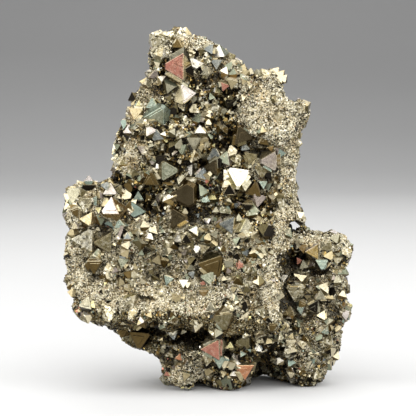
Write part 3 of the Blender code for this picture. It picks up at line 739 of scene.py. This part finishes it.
def oval_reach(x, z, ovals):
    """How far x, z is from the middle of the nearest oval: the square of that, where 1 is its border."""
    return np.min(
        [
            ((x - middle_x) / half_x) ** 2 + ((z - middle_z) / half_z) ** 2
            for middle_x, middle_z, half_x, half_z in ovals
        ],
        axis=0,
    )


def random_turns(rng, number):
    """Evenly spread rotations, each a matrix whose rows are a crystal's axes."""
    quaternions = rng.normal(size=(4, number))
    w, x, y, z = quaternions / np.linalg.norm(quaternions, axis=0)
    rows = [
        [1 - 2 * (y * y + z * z), 2 * (x * y - z * w), 2 * (x * z + y * w)],
        [2 * (x * y + z * w), 1 - 2 * (x * x + z * z), 2 * (y * z - x * w)],
        [2 * (x * z - y * w), 2 * (y * z + x * w), 1 - 2 * (x * x + y * y)],
    ]
    return np.moveaxis(np.array(rows), 2, 0)


def free_air(tree, places, normals, rays, start, reach):
    """How much of the air round each place is free, from 0 to 1, felt by rays from just above it."""
    rng = np.random.default_rng(RAY_SEED)
    ways = [Vector(way).normalized() for way in rng.normal(size=(rays, 3))]
    shares = []
    for place, normal in zip(places, normals):
        normal = Vector(normal)
        above = Vector(place) + normal * start * MM
        free = 0
        for way in ways:
            met = tree.ray_cast(above, way if way.dot(normal) > 0 else -way, reach * MM)[3]
            free += 1 if met is None else met / (reach * MM)
        shares.append(free / rays)
    return np.array(shares)


class Openness:
    """How much of the air round any place of the block is free, looked up at the skin's nearest point."""

    def __init__(self, skin):
        verts = skin.data.vertices
        tree = BVHTree.FromObject(skin, bpy.context.evaluated_depsgraph_get())
        self.shares = free_air(tree, [v.co for v in verts], [v.normal for v in verts], *OPEN_RAYS)
        self.places = KDTree(len(verts))
        for i, vert in enumerate(verts):
            self.places.insert(vert.co, i)
        self.places.balance()

    def at(self, place):
        return self.shares[self.places.find(place)[1]]

    def at_all(self, places):
        return np.array([self.at(place) for place in places])


def tree_of(objects):
    """One search tree of the faces of several objects."""
    points, faces, made = [], [], 0
    for obj in objects:
        points += [vert.co for vert in obj.data.vertices]
        faces += [[made + i for i in face.vertices] for face in obj.data.polygons]
        made = len(points)
    return BVHTree.FromPolygons(points, faces)


def corners_of(mesh):
    """The corners of a mesh and the normals there, as arrays."""
    places, normals = np.empty((2, len(mesh.vertices) * 3))
    mesh.vertices.foreach_get("co", places)
    mesh.vertices.foreach_get("normal", normals)
    return places.reshape(-1, 3), normals.reshape(-1, 3)


def faces_front(normals):
    return normals[:, 1] < FRONT_FACING


def finer_skin(skin):
    """Gives the skin small faces and a crumbly surface, and trims it flat at z = 0."""
    apply_remesh(skin, FINE_VOXEL)
    mesh = skin.data
    places, normals = corners_of(mesh)
    crumbs = [noise.voronoi(Vector(place))[0][0] for place in places / (CRUMB_SIZE * MM)]
    height = CRUMB_HEIGHT * (CRUMB_MIDDLE - np.array(crumbs))
    gaps = GAP_DEPTH * share_of("gap", places, faces_front(normals))
    height -= np.maximum(HOLE_DEPTH * in_hole(places), gaps)
    mesh.vertices.foreach_set("co", (places + normals * height[:, None] * MM).ravel())
    bm = bmesh.new()
    bm.from_mesh(mesh)
    everything = bm.verts[:] + bm.edges[:] + bm.faces[:]
    bmesh.ops.bisect_plane(bm, geom=everything, plane_co=(0, 0, 0), plane_no=(0, 0, 1), clear_inner=True)
    bmesh.ops.holes_fill(bm, edges=[edge for edge in bm.edges if edge.is_boundary])
    bmesh.ops.triangulate(bm, faces=bm.faces)
    bm.to_mesh(mesh)
    bm.free()
    mesh.shade_flat()


def noise_at(places, size):
    """Noise of about -1 to 1 at each place, with waves of this size."""
    return np.array([noise.noise(Vector(place)) for place in places / (size * MM)])


def waves_at(places, waves):
    """Noise at each place as a sum of waves, each given by its size and its strength."""
    return sum(strength * noise_at(places, size) for size, strength in waves)


def share_of(kind, places, in_front):
    """How much of an area of this kind each place is in, from 0 to 1."""
    size, strength, ovals = AREAS[kind]
    reach = oval_reach(places[:, 0] / MM, places[:, 2] / MM, ovals)
    inside = np.clip(AREA_CORE - AREA_FALL * reach + strength * noise_at(places, size), 0, 1)
    if kind not in BEHIND:
        return inside * in_front
    waves, level, steepness = BEHIND[kind]
    behind = np.clip(0.5 + steepness * (waves_at(places, waves) - level), 0, 1)
    return np.where(in_front, inside, behind)


def in_hole(places):
    """How much of one of the crust's many small holes each place is in, from 0 to 1."""
    return np.clip(HOLE_STEEPNESS * (waves_at(places, HOLE_WAVES) - HOLE_LEVEL), 0, 1)


def add_values(mesh, name, domain, kind, values):
    """Keeps a number or a colour for each point of a mesh, or for each corner of each face."""
    layer = mesh.attributes.new(name, kind, domain)
    key = "color" if kind == "FLOAT_COLOR" else "value"
    layer.data.foreach_set(key, np.asarray(values, np.float32).ravel())


def picked(rng, palette, number):
    """Random tints out of a palette, as places in TINT_NAMES."""
    weights = np.array(list(palette.values()), float)
    places = [TINT_NAMES.index(name) for name in palette]
    return rng.choice(places, size=number, p=weights / weights.sum())


def face_tints(rng, normals, tint, openness, is_pale):
    """A tint for each of a crystal's eight faces.

    tint may name that of the first face, which is the shown one, and after a space that of the others.
    """
    given = tint.split() if tint else []
    tints = []
    for i, normal in enumerate(normals):
        if given and (i == 0 or len(given) > 1):
            tints.append(TINTS[given[min(i, 1)]])
            continue
        palette = FACES_PALE if is_pale else FACES_ACROSS
        # Painted light and shade: faces that face up get paler tints, faces that face down darker ones
        if abs(normal[2]) > UP_FACING:
            palette = FACES_UP if normal[2] > 0 else FACES_DOWN
        # Painted shade: most faces in hollows get dark tints
        if openness < DEEP and rng.random() < PAINTED_SHADE_SHARE:
            palette = FACES_PAINTED_SHADE
        tints.append(TINTS[TINT_NAMES[picked(rng, palette, 1)[0]]])
    return np.array(tints)


class CrystalShape:
    """Cuts an octahedron out of space by planes: its faces, its blunt corners and its worn edges."""

    def __init__(self, has_worn_edges):
        faces = np.array(list(product((1, -1), repeat=3)), float)
        corners = np.concatenate([np.eye(3), -np.eye(3)])
        self.pairs = np.array(
            [(i, j) for i, j in combinations(range(8), 2) if abs(faces[i] - faces[j]).sum() == 2]
        )
        edges = faces[self.pairs[:, 0]] + faces[self.pairs[:, 1]]
        self.normals = np.concatenate([faces / math.sqrt(3), corners])
        if has_worn_edges:
            self.normals = np.concatenate([self.normals, edges / math.sqrt(8)])
        triples = np.array(list(combinations(range(len(self.normals)), 3)))
        meets = np.abs(np.linalg.det(self.normals[triples])) > LEAST_DETERMINANT
        self.triples = triples[meets]
        self.inverses = np.linalg.inv(self.normals[self.triples])

    def cut(self, uneven, blunt, worn):
        """A crystal with an edge of 1: its corners, its faces, and the plane that each face is on.

        uneven moves each of the eight faces out, blunt moves each of the six corners in, and worn
        moves the twelve edges in.
        """
        face_depths = (1 + uneven) / math.sqrt(6)
        edge_depths = face_depths[self.pairs].sum(1) * math.sqrt(3 / 8) - worn
        depths = np.concatenate([face_depths, (1 - blunt) / math.sqrt(2), edge_depths])
        depths = depths[: len(self.normals)]
        points = np.einsum("nij,nj->ni", self.inverses, depths[self.triples])
        points = points[(points @ self.normals.T <= depths + OUTSIDE).all(1)]
        points = np.unique(np.round(points, DECIMALS), axis=0)
        rings, planes = [], []
        for plane, (normal, depth) in enumerate(zip(self.normals, depths)):
            ring = np.flatnonzero(np.abs(points @ normal - depth) < OFF_PLANE)
            if len(ring) < 3:
                continue
            off_centre = points[ring] - points[ring].mean(0)
            first = off_centre[0] / np.linalg.norm(off_centre[0])
            angles = np.arctan2(off_centre @ np.cross(normal, first), off_centre @ first)
            rings.append(ring[np.argsort(angles)])
            planes.append(plane)
        return points, rings, planes


WORN_SHAPE = CrystalShape(True)
SHARP_SHAPE = CrystalShape(False)


def grain_solid(corners):
    """The corners of a small solid with triangular faces and an edge of 1, and its triangles."""
    corners = np.array(corners, float)
    corners /= np.linalg.norm(corners[:, None] - corners, axis=2)[0, 1:].min()
    triangles = []
    for ring in combinations(range(len(corners)), 3):
        a, b, c = corners[list(ring)]
        normal = np.cross(b - a, c - a)
        heights = (corners - a) @ normal
        if (heights <= OUTSIDE).all():
            triangles.append(ring)
        elif (heights >= -OUTSIDE).all():
            triangles.append(ring[::-1])
    return corners, np.array(triangles)


OCTAHEDRON = grain_solid([(1, 0, 0), (-1, 0, 0), (0, 1, 0), (0, -1, 0), (0, 0, 1), (0, 0, -1)])
TETRAHEDRON = grain_solid([(1, 1, 1), (1, -1, -1), (-1, 1, -1), (-1, -1, 1)])


def mesh_of(name, points, faces):
    mesh = bpy.data.meshes.new(name)
    mesh.from_pydata(points, [], faces)
    return mesh


def growth_steps(rng, centre, axes, edge):
    """The centres and edges of the parallel crystals that stand out of a crystal's faces as plates."""
    normals = SHARP_SHAPE.normals[:8] @ axes
    steps = []
    for _ in range(rng.integers(PLATES[0], PLATES[1] + 1)):
        face = 0 if rng.random() < PLATES_ON_SHOWN_FACE else rng.integers(0, 8)
        size = edge * rng.uniform(*PLATE_EDGES)
        stands_out = edge * rng.uniform(*PLATE_HEIGHTS)
        aside = np.cross(normals[face], rng.normal(size=3))
        aside *= rng.uniform(0, PLATE_ASIDE) * (edge - size) / np.linalg.norm(aside)
        out = (edge - size) / math.sqrt(6) + stands_out
        steps.append((centre + normals[face] * out + aside, size))
    return steps


def side_crystals(rng, centre, axes, edge):
    """The centres and edges of the smaller parallel crystals that a crystal has grown together with."""
    normal = SHARP_SHAPE.normals[0] @ axes
    grown = []
    for _ in range(rng.integers(0, SIDE_CRYSTALS + 1)):
        size = edge * rng.uniform(*SIDE_EDGES)
        aside = np.cross(normal, rng.normal(size=3))
        aside *= edge * rng.uniform(*SIDE_AWAY) / np.linalg.norm(aside)
        out = (edge - size) / math.sqrt(6) * rng.uniform(*SIDE_OUT)
        grown.append((centre + normal * out + aside, size))
    return grown


def crust_of(tint):
    """How much crust a crystal with a given tint has, from 0 to 1."""
    if tint.startswith(DULL_TINTS):
        return 1
    return 0 if tint.startswith(CLEAN_TINTS) else LITTLE_CRUST


def crystals_object(name, shape, crystals, rng, uneven, blunt, worn=0, with_steps=False):
    """One mesh of crystals given as (centre, axes, edge, tint, openness).

    Each corner of each face keeps the face's tint, its place along the growth lines, and how much
    crust there is. with_steps adds growth steps and smaller crystals at the sides.
    """
    points, rings, colours, stripes, crusts = [], [], [], [], []
    made = 0
    centres = np.array([centre for centre, *_ in crystals])
    are_pale = share_of("pale", centres, centres[:, 1] < 0) > 0.5
    for (centre, axes, edge, tint, openness), is_pale in zip(crystals, are_pale):
        centre, axes = np.array(centre), np.array(axes)
        normals = shape.normals @ axes
        tints = face_tints(rng, normals[:8], tint, openness, is_pale)
        crust = float(rng.random() < CRUSTED)
        if tint:
            crust = crust_of(tint)
        bodies = [(centre, edge, tints)]
        if with_steps:
            bodies += [(middle, size, tints) for middle, size in growth_steps(rng, centre, axes, edge)]
            for middle, size in side_crystals(rng, centre, axes, edge):
                own_tints = face_tints(rng, normals[:8], None, openness, is_pale)
                bodies.append((middle, size, own_tints))
        for middle, size, body_tints in bodies:
            off = rng.uniform(-uneven, uneven, 8)
            off[0] *= tint is None
            cut_corners = LEAST_CUT + rng.uniform(0, blunt, 6) ** 2 / blunt
            corners, faces, planes = shape.cut(off, cut_corners, worn)
            placed = middle + size * corners @ axes
            placed[:, 2] = np.maximum(placed[:, 2], 0)
            shades = body_tints * rng.uniform(*FACE_SHADES, (8, 1))
            for face, plane in zip(faces, planes):
                # Worn edges and cut corners are made paler as a painted highlight
                colour = shades[plane] if plane < 8 else edge_highlight_tint(shades, normals, plane)
                signs = np.where(shape.normals[plane] < 0, -1, 1)
                line = np.cross(normals[plane], signs[0] * axes[0] - signs[1] * axes[1])
                rings.append(face + made)
                colours.append(np.tile([*np.minimum(colour, PALEST), 1], (len(face), 1)))
                stripes.append((placed[face] - centre) @ line / MM + LINES_SHIFT * rng.random())
                crusts.append(np.full(len(face), crust))
            points.append(placed)
            made += len(corners)
    mesh = mesh_of(name, np.concatenate(points), rings)
    add_values(mesh, "tint", "CORNER", "FLOAT_COLOR", np.concatenate(colours))
    add_values(mesh, "stripe", "CORNER", "FLOAT", np.concatenate(stripes))
    add_values(mesh, "crust", "CORNER", "FLOAT", np.concatenate(crusts))
    return new_object(name, mesh)


def edge_highlight_tint(shades, normals, plane):
    """The colour of a blunt corner or a worn edge: that of the faces beside it, a little paler, as a painted
    highlight.
    """
    beside = np.argsort(-(normals[:8] @ normals[plane]))[:2]
    return shades[beside].mean(0) * EDGE_HIGHLIGHT_PALER + EDGE_HIGHLIGHT_ADDS


def small_solids(solid, turns, places, sizes):
    """The corners and triangles of many small solids of one kind."""
    corners, faces = solid
    points = places[:, None] + np.einsum("ci,nij->ncj", corners, turns * sizes[:, None, None])
    triangles = np.arange(len(places))[:, None, None] * len(corners) + faces
    return points.reshape(-1, 3), triangles.reshape(-1, 3)


def grains_object(name, rng, places, sizes, tints, are_fine):
    """One mesh of small crystals, each face marked for the material slot of its tint. The fine ones are
    simpler.
    """
    turns = random_turns(rng, len(places)) * rng.uniform(*GRAIN_STRETCH, (len(places), 3, 1))
    points, faces, slots, made = [], [], [], 0
    for solid, chosen in ((OCTAHEDRON, ~are_fine), (TETRAHEDRON, are_fine)):
        corners, triangles = small_solids(solid, turns[chosen], places[chosen], sizes[chosen])
        points.append(corners)
        faces.append(triangles + made)
        slots.append(np.repeat(tints[chosen], len(solid[1])))
        made += len(corners)
    points = np.concatenate(points)
    points[:, 2] = np.maximum(points[:, 2], 0)
    mesh = mesh_of(name, points, np.concatenate(faces))
    mesh.polygons.foreach_set("material_index", np.concatenate(slots).astype(np.int32))
    return new_object(name, mesh)


def inside_crystals(places, crystals, grown):
    """Which of the places lie inside one of the crystals, each grown by this factor."""
    inside = np.zeros(len(places), bool)
    for centre, axes, edge, *_ in crystals:
        reach = grown * edge / math.sqrt(2)
        off = places - np.array(centre)
        near = np.flatnonzero((np.abs(off) < reach).all(1))
        inside[near] |= np.abs(off[near] @ np.array(axes).T).sum(1) < reach
    return inside


def places_on(rng, mesh, number):
    """Random places of a mesh, with the surface's normals there."""
    mesh.calc_loop_triangles()
    triangles = np.empty(len(mesh.loop_triangles) * 3, int)
    mesh.loop_triangles.foreach_get("vertices", triangles)
    a, b, c = corners_of(mesh)[0][triangles.reshape(-1, 3).T]
    across = np.cross(b - a, c - a)
    areas = np.linalg.norm(across, axis=1)
    chosen = rng.choice(len(areas), size=number, p=areas / areas.sum())
    u, v = np.sort(rng.random((2, number)), axis=0)[:, :, None]
    places = a[chosen] * u + b[chosen] * (v - u) + c[chosen] * (1 - v)
    return places, across[chosen] / areas[chosen, None]


def small_crystals(rng, mesh, openness, large):
    """The small crystals that fill the room between the large ones."""
    places, normals = places_on(rng, mesh, SMALL_TRIES)
    in_front = faces_front(normals)
    smaller = 1 - SMALLER_IN_SPECKLE * share_of("speckled", places, in_front)
    edges = rng.triangular(*SMALL_EDGES, SMALL_TRIES) * smaller * MM
    keep = ~inside_crystals(places, large, CLEAR_OF_LARGE) & (places[:, 2] > SMALL_ABOVE_FLOOR * edges)
    made_places = np.array([centre for centre, *_ in large])
    made_edges = np.array([edge for _, _, edge, *_ in large])
    chance = np.ones(SMALL_TRIES)
    for kind, kept in SMALL_KEPT.items():
        chance *= 1 - share_of(kind, places, in_front) * (1 - kept)
    chance *= np.where(in_front, 1, SMALL_BEHIND)
    chance *= np.where(np.abs(normals[:, 1]) < RIM_FACING, SMALL_ON_RIM, 1)
    small = []
    for i in np.flatnonzero(keep & (rng.random(SMALL_TRIES) < chance)):
        place, normal, edge = places[i], normals[i], edges[i]
        apart = np.linalg.norm(made_places - place, axis=1)
        if (apart < SMALL_APART * (made_edges + edge)).any():
            continue
        turns = random_turns(rng, SMALL_TURNS)
        flattest = np.argmax([np.abs(turn @ normal).sum() for turn in turns])
        centre = place - normal * rng.uniform(*SMALL_SUNK) * edge
        made_places = np.vstack([made_places, centre])
        made_edges = np.append(made_edges, edge)
        small.append((centre, turns[flattest], edge, None, openness.at(place)))
    return small


def retint(rng, tints, palette, share):
    """Gives this share of the tints a new one out of the palette, and tells which they are."""
    chosen = rng.random(len(tints)) < share
    tints[chosen] = picked(rng, palette, len(tints))[chosen]
    return chosen


def grains(rng, mesh, tree, openness, large, small):
    """The grains that crust the block: their places, sizes and tints, and which of them are fine."""
    places, normals = places_on(rng, mesh, GRAINS)
    clear = faces_front(normals) | (rng.random(GRAINS) < GRAINS_BEHIND)
    clear &= places[:, 2] > GRAIN_FLOOR * MM
    places, normals = places[clear], normals[clear]
    clear = ~inside_crystals(places, large, GRAINS_CLEAR_OF_LARGE)
    clear &= ~inside_crystals(places, small, GRAINS_CLEAR_OF_SMALL)
    places, normals = places[clear], normals[clear]
    number, in_front = len(places), faces_front(normals)
    tints = picked(rng, GRAINS_MIXED, number)
    speckled = retint(rng, tints, GRAINS_SPECKLED, share_of("speckled", places, in_front))
    # Painted shade: grains under the ledge get the shaded palette
    shaded = retint(rng, tints, GRAINS_SHADED, share_of("shaded", places, in_front))
    pale_share = share_of("pale", places, in_front)
    mottled = np.clip(MOTTLE_MIDDLE + MOTTLE_STRENGTH * noise_at(places, MOTTLE_SIZE), MOTTLE_LEAST, 1)
    pale = retint(rng, tints, GRAINS_PALE, pale_share * mottled * ~shaded)
    # Painted shade: grains in the small holes get the shaded palette
    retint(rng, tints, GRAINS_SHADED, HOLE_SHADED * in_hole(places))
    # Painted shade: dark tints where the air is less free, in the gaps and where the surface faces down
    depth = np.clip((DEEP - openness.at_all(places)) / DEEP_SPAN, 0, 1)
    depth += np.clip((GAP - free_air(tree, places, normals, *GAP_RAYS)) / GAP_SPAN, 0, 1)
    depth *= 1 - np.maximum(PALE_STAYS * pale, SPECKLE_STAYS * speckled)
    faces_down = np.clip(-DOWN_STEEPNESS * normals[:, 2], 0, 1)
    depth += GAP_DARK * share_of("gap", places, in_front) + DOWN_DARK * faces_down
    retint(rng, tints, GRAINS_PAINTED_SHADE, depth)
    fine = (pale_share > 0.5) | speckled | shaded
    sizes = np.where(
        fine, rng.triangular(*FINE_GRAIN_EDGES, number), rng.triangular(*GRAIN_EDGES, number)
    )
    return places, sizes * MM, tints, fine


class Nodes:
    """The nodes of one material, which end in a Principled shader."""

    def __init__(self, name, **values):
        self.material = bpy.data.materials.new(name)
        self.material.use_nodes = True
        self.tree = self.material.node_tree
        self.shader = self.tree.nodes["Principled BSDF"]
        self.feed(self.shader, values)

    def feed(self, node, inputs):
        for key, value in inputs.items():
            socket = node.inputs[key if isinstance(key, int) else key.replace("_", " ")]
            if isinstance(value, bpy.types.NodeSocket):
                self.tree.links.new(value, socket)
            else:
                socket.default_value = value

    def add(self, kind, inputs, output=0, **settings):
        """Adds a node and returns one of its outputs."""
        node = self.tree.nodes.new("ShaderNode" + kind)
        for key, value in settings.items():
            setattr(node, key, value)
        self.feed(node, inputs)
        return node.outputs[output]

    def attribute(self, name, output="Color"):
        return self.add("Attribute", {}, output, attribute_name=name)

    def noise(self, place, scale, detail=3, roughness=0.55):
        """Noise from 0 to 1 at a number of waves to the metre."""
        return self.add(
            "TexNoise", {"Vector": place, "Scale": scale, "Detail": detail, "Roughness": roughness}
        )

    def spread(self, value, low, high, to_low, to_high):
        """Stretches the values from low to high over to_low to to_high."""
        return self.add("MapRange", {0: value, 1: low, 2: high, 3: to_low, 4: to_high})

    def pattern(self, place, waves, low, high, to_low, to_high):
        """Noise that is stretched in this way."""
        return self.spread(self.noise(place, waves), low, high, to_low, to_high)

    def mix(self, share, first, second, blend="MIX"):
        """Mixes two colours."""
        return self.add(
            "Mix", {0: share, 6: first, 7: second}, 2, data_type="RGBA", blend_type=blend
        )

    def dice(self, place, scale):
        """A random number from 0 to 1 for each cell of a pattern with so many cells to the metre."""
        cells = self.add("TexVoronoi", {"Vector": place, "Scale": scale}, "Color")
        return self.add("SeparateColor", {0: cells})

    def ramp(self, value, steps):
        """Turns a value into tints, each from its own step on."""
        colour = self.add("ValToRGB", {0: value})
        ramp = colour.node.color_ramp
        ramp.interpolation = "CONSTANT"
        while len(ramp.elements) < len(steps):
            ramp.elements.new(1)
        for element, (start, tint) in zip(ramp.elements, steps):
            element.position = start
            element.color = (*TINTS[tint], 1)
        return colour

    def bump(self, height, distance, strength, under=None):
        inputs = {"Height": height, "Distance": distance, "Strength": strength}
        if under is not None:
            inputs["Normal"] = under
        return self.add("Bump", inputs)


def crystal_material(name, spotted, rough_low, rough_high):
    """Bright brassy faces with fine growth lines, tarnish and pits, each face in its own tint of tarnish and
    painted light.
    """
    nodes = Nodes(name, Metallic=METALLIC)
    place = nodes.add("TexCoord", {}, "Object")
    tarnish = nodes.pattern(place, *TARNISH_PATTERN)
    colour = nodes.mix(tarnish, nodes.attribute("tint"), (*TARNISH, 1), "MULTIPLY")
    pits = nodes.noise(place, *PITS_NOISE)
    colour = nodes.mix(nodes.spread(pits, *PITS_SPREAD, 0, spotted), colour, (*PITS, 1))
    patchy = nodes.pattern(place, *CRUST_PATTERN)
    crust = nodes.add("Math", {0: nodes.attribute("crust", "Fac"), 1: patchy}, operation="MULTIPLY")
    colour = nodes.mix(crust, colour, nodes.ramp(nodes.dice(place, FACE_CELLS), FACE_GRIT))
    along = {"W": nodes.attribute("stripe", "Fac"), **LINES_NOISE}
    lines = nodes.add("TexNoise", along, noise_dimensions="1D")
    height = nodes.bump(pits, *PITS_RELIEF, nodes.bump(lines, *LINES_RELIEF))
    rough = nodes.spread(nodes.noise(place, *POLISH_NOISE), *POLISH_SPREAD, rough_low, rough_high)
    nodes.feed(nodes.shader, {"Base_Color": colour, "Roughness": rough, "Normal": height})
    return nodes.material


def matrix_material(name):
    """The fine crust between the grains: speckled olive and brown, with painted shade in the hollows."""
    nodes = Nodes(name)
    place = nodes.add("TexCoord", {}, "Object")
    dice = nodes.dice(place, SKIN_CELLS)
    pale = nodes.attribute("pale", "Fac")
    colour = nodes.mix(pale, nodes.ramp(dice, BARE_GRIT), nodes.ramp(dice, SKIN_GRIT))
    colour = nodes.mix(nodes.pattern(place, *STAIN_PATTERN), colour, (*STAIN, 1), "MULTIPLY")
    painted_shade = nodes.spread(nodes.attribute("open", "Fac"), *PAINTED_SHADE_SPREAD)
    colour = nodes.mix(painted_shade, colour, (*TINTS["dark"], 1))
    crumbs = nodes.add("TexVoronoi", {"Vector": place, "Scale": CRUMB_CELLS}, "Distance")
    height = nodes.bump(crumbs, *CRUMBS_RELIEF)
    rough = nodes.pattern(place, *SKIN_ROUGH_PATTERN)
    metal = nodes.spread(pale, *METAL_SPREAD)
    nodes.feed(
        nodes.shader, {"Base_Color": colour, "Roughness": rough, "Metallic": metal, "Normal": height}
    )
    return nodes.material


def grain_material(tint):
    """A tint of the grains, which are too small to show a pattern of their own."""
    metallic, rough = (DULL_METALLIC, DULL_ROUGH) if tint in DULL_TINTS else (METALLIC, GRAIN_ROUGH)
    nodes = Nodes("grain_" + tint, Metallic=metallic, Roughness=rough, Base_Color=(*TINTS[tint], 1))
    return nodes.material


def stage():
    """A pale floor that sweeps up behind the specimen, as in a studio."""
    bm = bmesh.new()
    profile = [(PAPER_FRONT, 0.0), (SWEEP_FROM, 0.0)]
    for step in range(1, SWEEP_STEPS + 1):
        angle = math.radians(90 * step / SWEEP_STEPS)
        profile.append((SWEEP_FROM + SWEEP_SIZE * math.sin(angle), SWEEP_SIZE * (1 - math.cos(angle))))
    profile.append((SWEEP_FROM + SWEEP_SIZE, PAPER_TOP))
    left = [bm.verts.new((-PAPER_HALF_WIDTH, y, z)) for y, z in profile]
    right = [bm.verts.new((PAPER_HALF_WIDTH, y, z)) for y, z in profile]
    for i in range(len(profile) - 1):
        bm.faces.new((left[i], right[i], right[i + 1], left[i + 1]))
    floor = object_from(bm, "studio_floor")
    floor.data.polygons.foreach_set("use_smooth", [True] * len(floor.data.polygons))
    nodes = Nodes("studio_paper", Roughness=PAPER_ROUGH)
    place = nodes.add("TexCoord", {}, "Object")
    shade = nodes.pattern(place, *PAPER_PATTERN)
    colour = nodes.mix(1, (*PAPER, 1), nodes.add("CombineColor", {0: shade, 1: shade, 2: shade}), "MULTIPLY")
    nodes.feed(nodes.shader, {"Base_Color": colour})
    floor.data.materials.append(nodes.material)


def softbox(name, azimuth, elevation, distance, wide, high, power):
    """A rectangular lamp that faces the specimen."""
    lamp = bpy.data.lights.new(name, "AREA")
    lamp.shape = "RECTANGLE"
    lamp.size, lamp.size_y = wide, high
    lamp.energy = power
    look_from(new_object(name, lamp), azimuth, elevation, distance)


def look_from(obj, azimuth, elevation, distance):
    """Puts a lamp or the camera round the target, facing it. Azimuth 0 is the front and 90 the right."""
    target = Vector(TARGET)
    turned, raised = math.radians(azimuth), math.radians(elevation)
    way = Vector((
        math.sin(turned) * math.cos(raised), -math.cos(turned) * math.cos(raised), math.sin(raised)
    ))
    obj.location = target + way * distance
    obj.rotation_euler = (-way).to_track_quat("-Z", "Y").to_euler()


def light_and_camera():
    scene = bpy.context.scene
    for lamp in LAMPS:
        softbox(*lamp)
    world = bpy.data.worlds.new("studio")
    world.use_nodes = True
    world.node_tree.nodes["Background"].inputs["Color"].default_value = (*WORLD, 1)
    scene.world = world
    camera = new_object("camera", bpy.data.cameras.new("camera"))
    look_from(camera, 0, CAMERA_UP, CAMERA_AWAY)
    camera.data.sensor_width = SENSOR
    camera.data.lens = SENSOR * CAMERA_AWAY / (FRAME_PIXELS * PIXEL * MM)
    scene.camera = camera
    scene.view_settings.view_transform = "Standard"


def add_piece(obj, materials, replaces=False):
    """Moves a piece from the tables' frame into the node's, and lets it ride in the node's stead."""
    obj.data.transform(Matrix.Translation((-BOX_MIDDLE_X * MM, -BOX_MIDDLE_Y * MM, 0)))
    for material in materials:
        obj.data.materials.append(material)
    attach(obj, "root")
    if replaces:
        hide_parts(NODE)


skin, block = block_objects()
block_tree = BVHTree.FromObject(block, bpy.context.evaluated_depsgraph_get())
openness = Openness(skin)
block.data.calc_loop_triangles()
placed = large_crystals(block_tree, CRYSTALS, FACE_STANDS_OUT)
for scatter in SCATTERS:
    scattered_crystals(block, placed, *scatter)
placed += large_crystals(block_tree, MORE_CRYSTALS, MORE_STAND_OUT)
large = [(centre, axes, edge, tint, openness.at(centre)) for centre, axes, edge, tint in placed]
finer_skin(skin)

rng = np.random.default_rng(SEED)
small = small_crystals(rng, skin.data, openness, large)
large_object = crystals_object(
    "large_crystals", WORN_SHAPE, large, rng, LARGE_UNEVEN, LARGE_BLUNT, LARGE_WORN, with_steps=True
)
small_object = crystals_object("small_crystals", SHARP_SHAPE, small, rng, SMALL_UNEVEN, SMALL_BLUNT)
crystal_tree = tree_of([block, large_object, small_object])
grain_places, *grain_values = grains(rng, skin.data, crystal_tree, openness, large, small)
bpy.data.objects.remove(block)

skin_places, skin_normals = corners_of(skin.data)
shares = {kind: share_of(kind, skin_places, faces_front(skin_normals)) for kind in AREAS}
# Painted shade on the skin: less open, and so darker, in hollows, gaps and holes
shade = np.maximum(GAP_SHADE * shares["gap"], HOLE_SHADE * in_hole(skin_places))
crusted = np.maximum(shares["pale"], SPECKLE_CRUST * shares["speckled"])
add_values(skin.data, "open", "POINT", "FLOAT", openness.at_all(skin_places) * (1 - shade))
add_values(skin.data, "pale", "POINT", "FLOAT", crusted)

add_piece(skin, [matrix_material("pyrite_crust")], replaces=True)
add_piece(large_object, [crystal_material("pyrite_faces", spotted=0.45, rough_low=0.16, rough_high=0.42)])
add_piece(
    small_object, [crystal_material("pyrite_small_faces", spotted=0.4, rough_low=0.22, rough_high=0.5)]
)
grain_looks = [grain_material(tint) for tint in TINT_NAMES]
by_height = np.argsort(grain_places[:, 2])
for i, part in enumerate(np.array_split(by_height, GRAIN_PIECES), 1):
    values = [value[part] for value in grain_values]
    add_piece(grains_object(f"grains_{i}", rng, grain_places[part], *values), grain_looks)

stage()
light_and_camera()
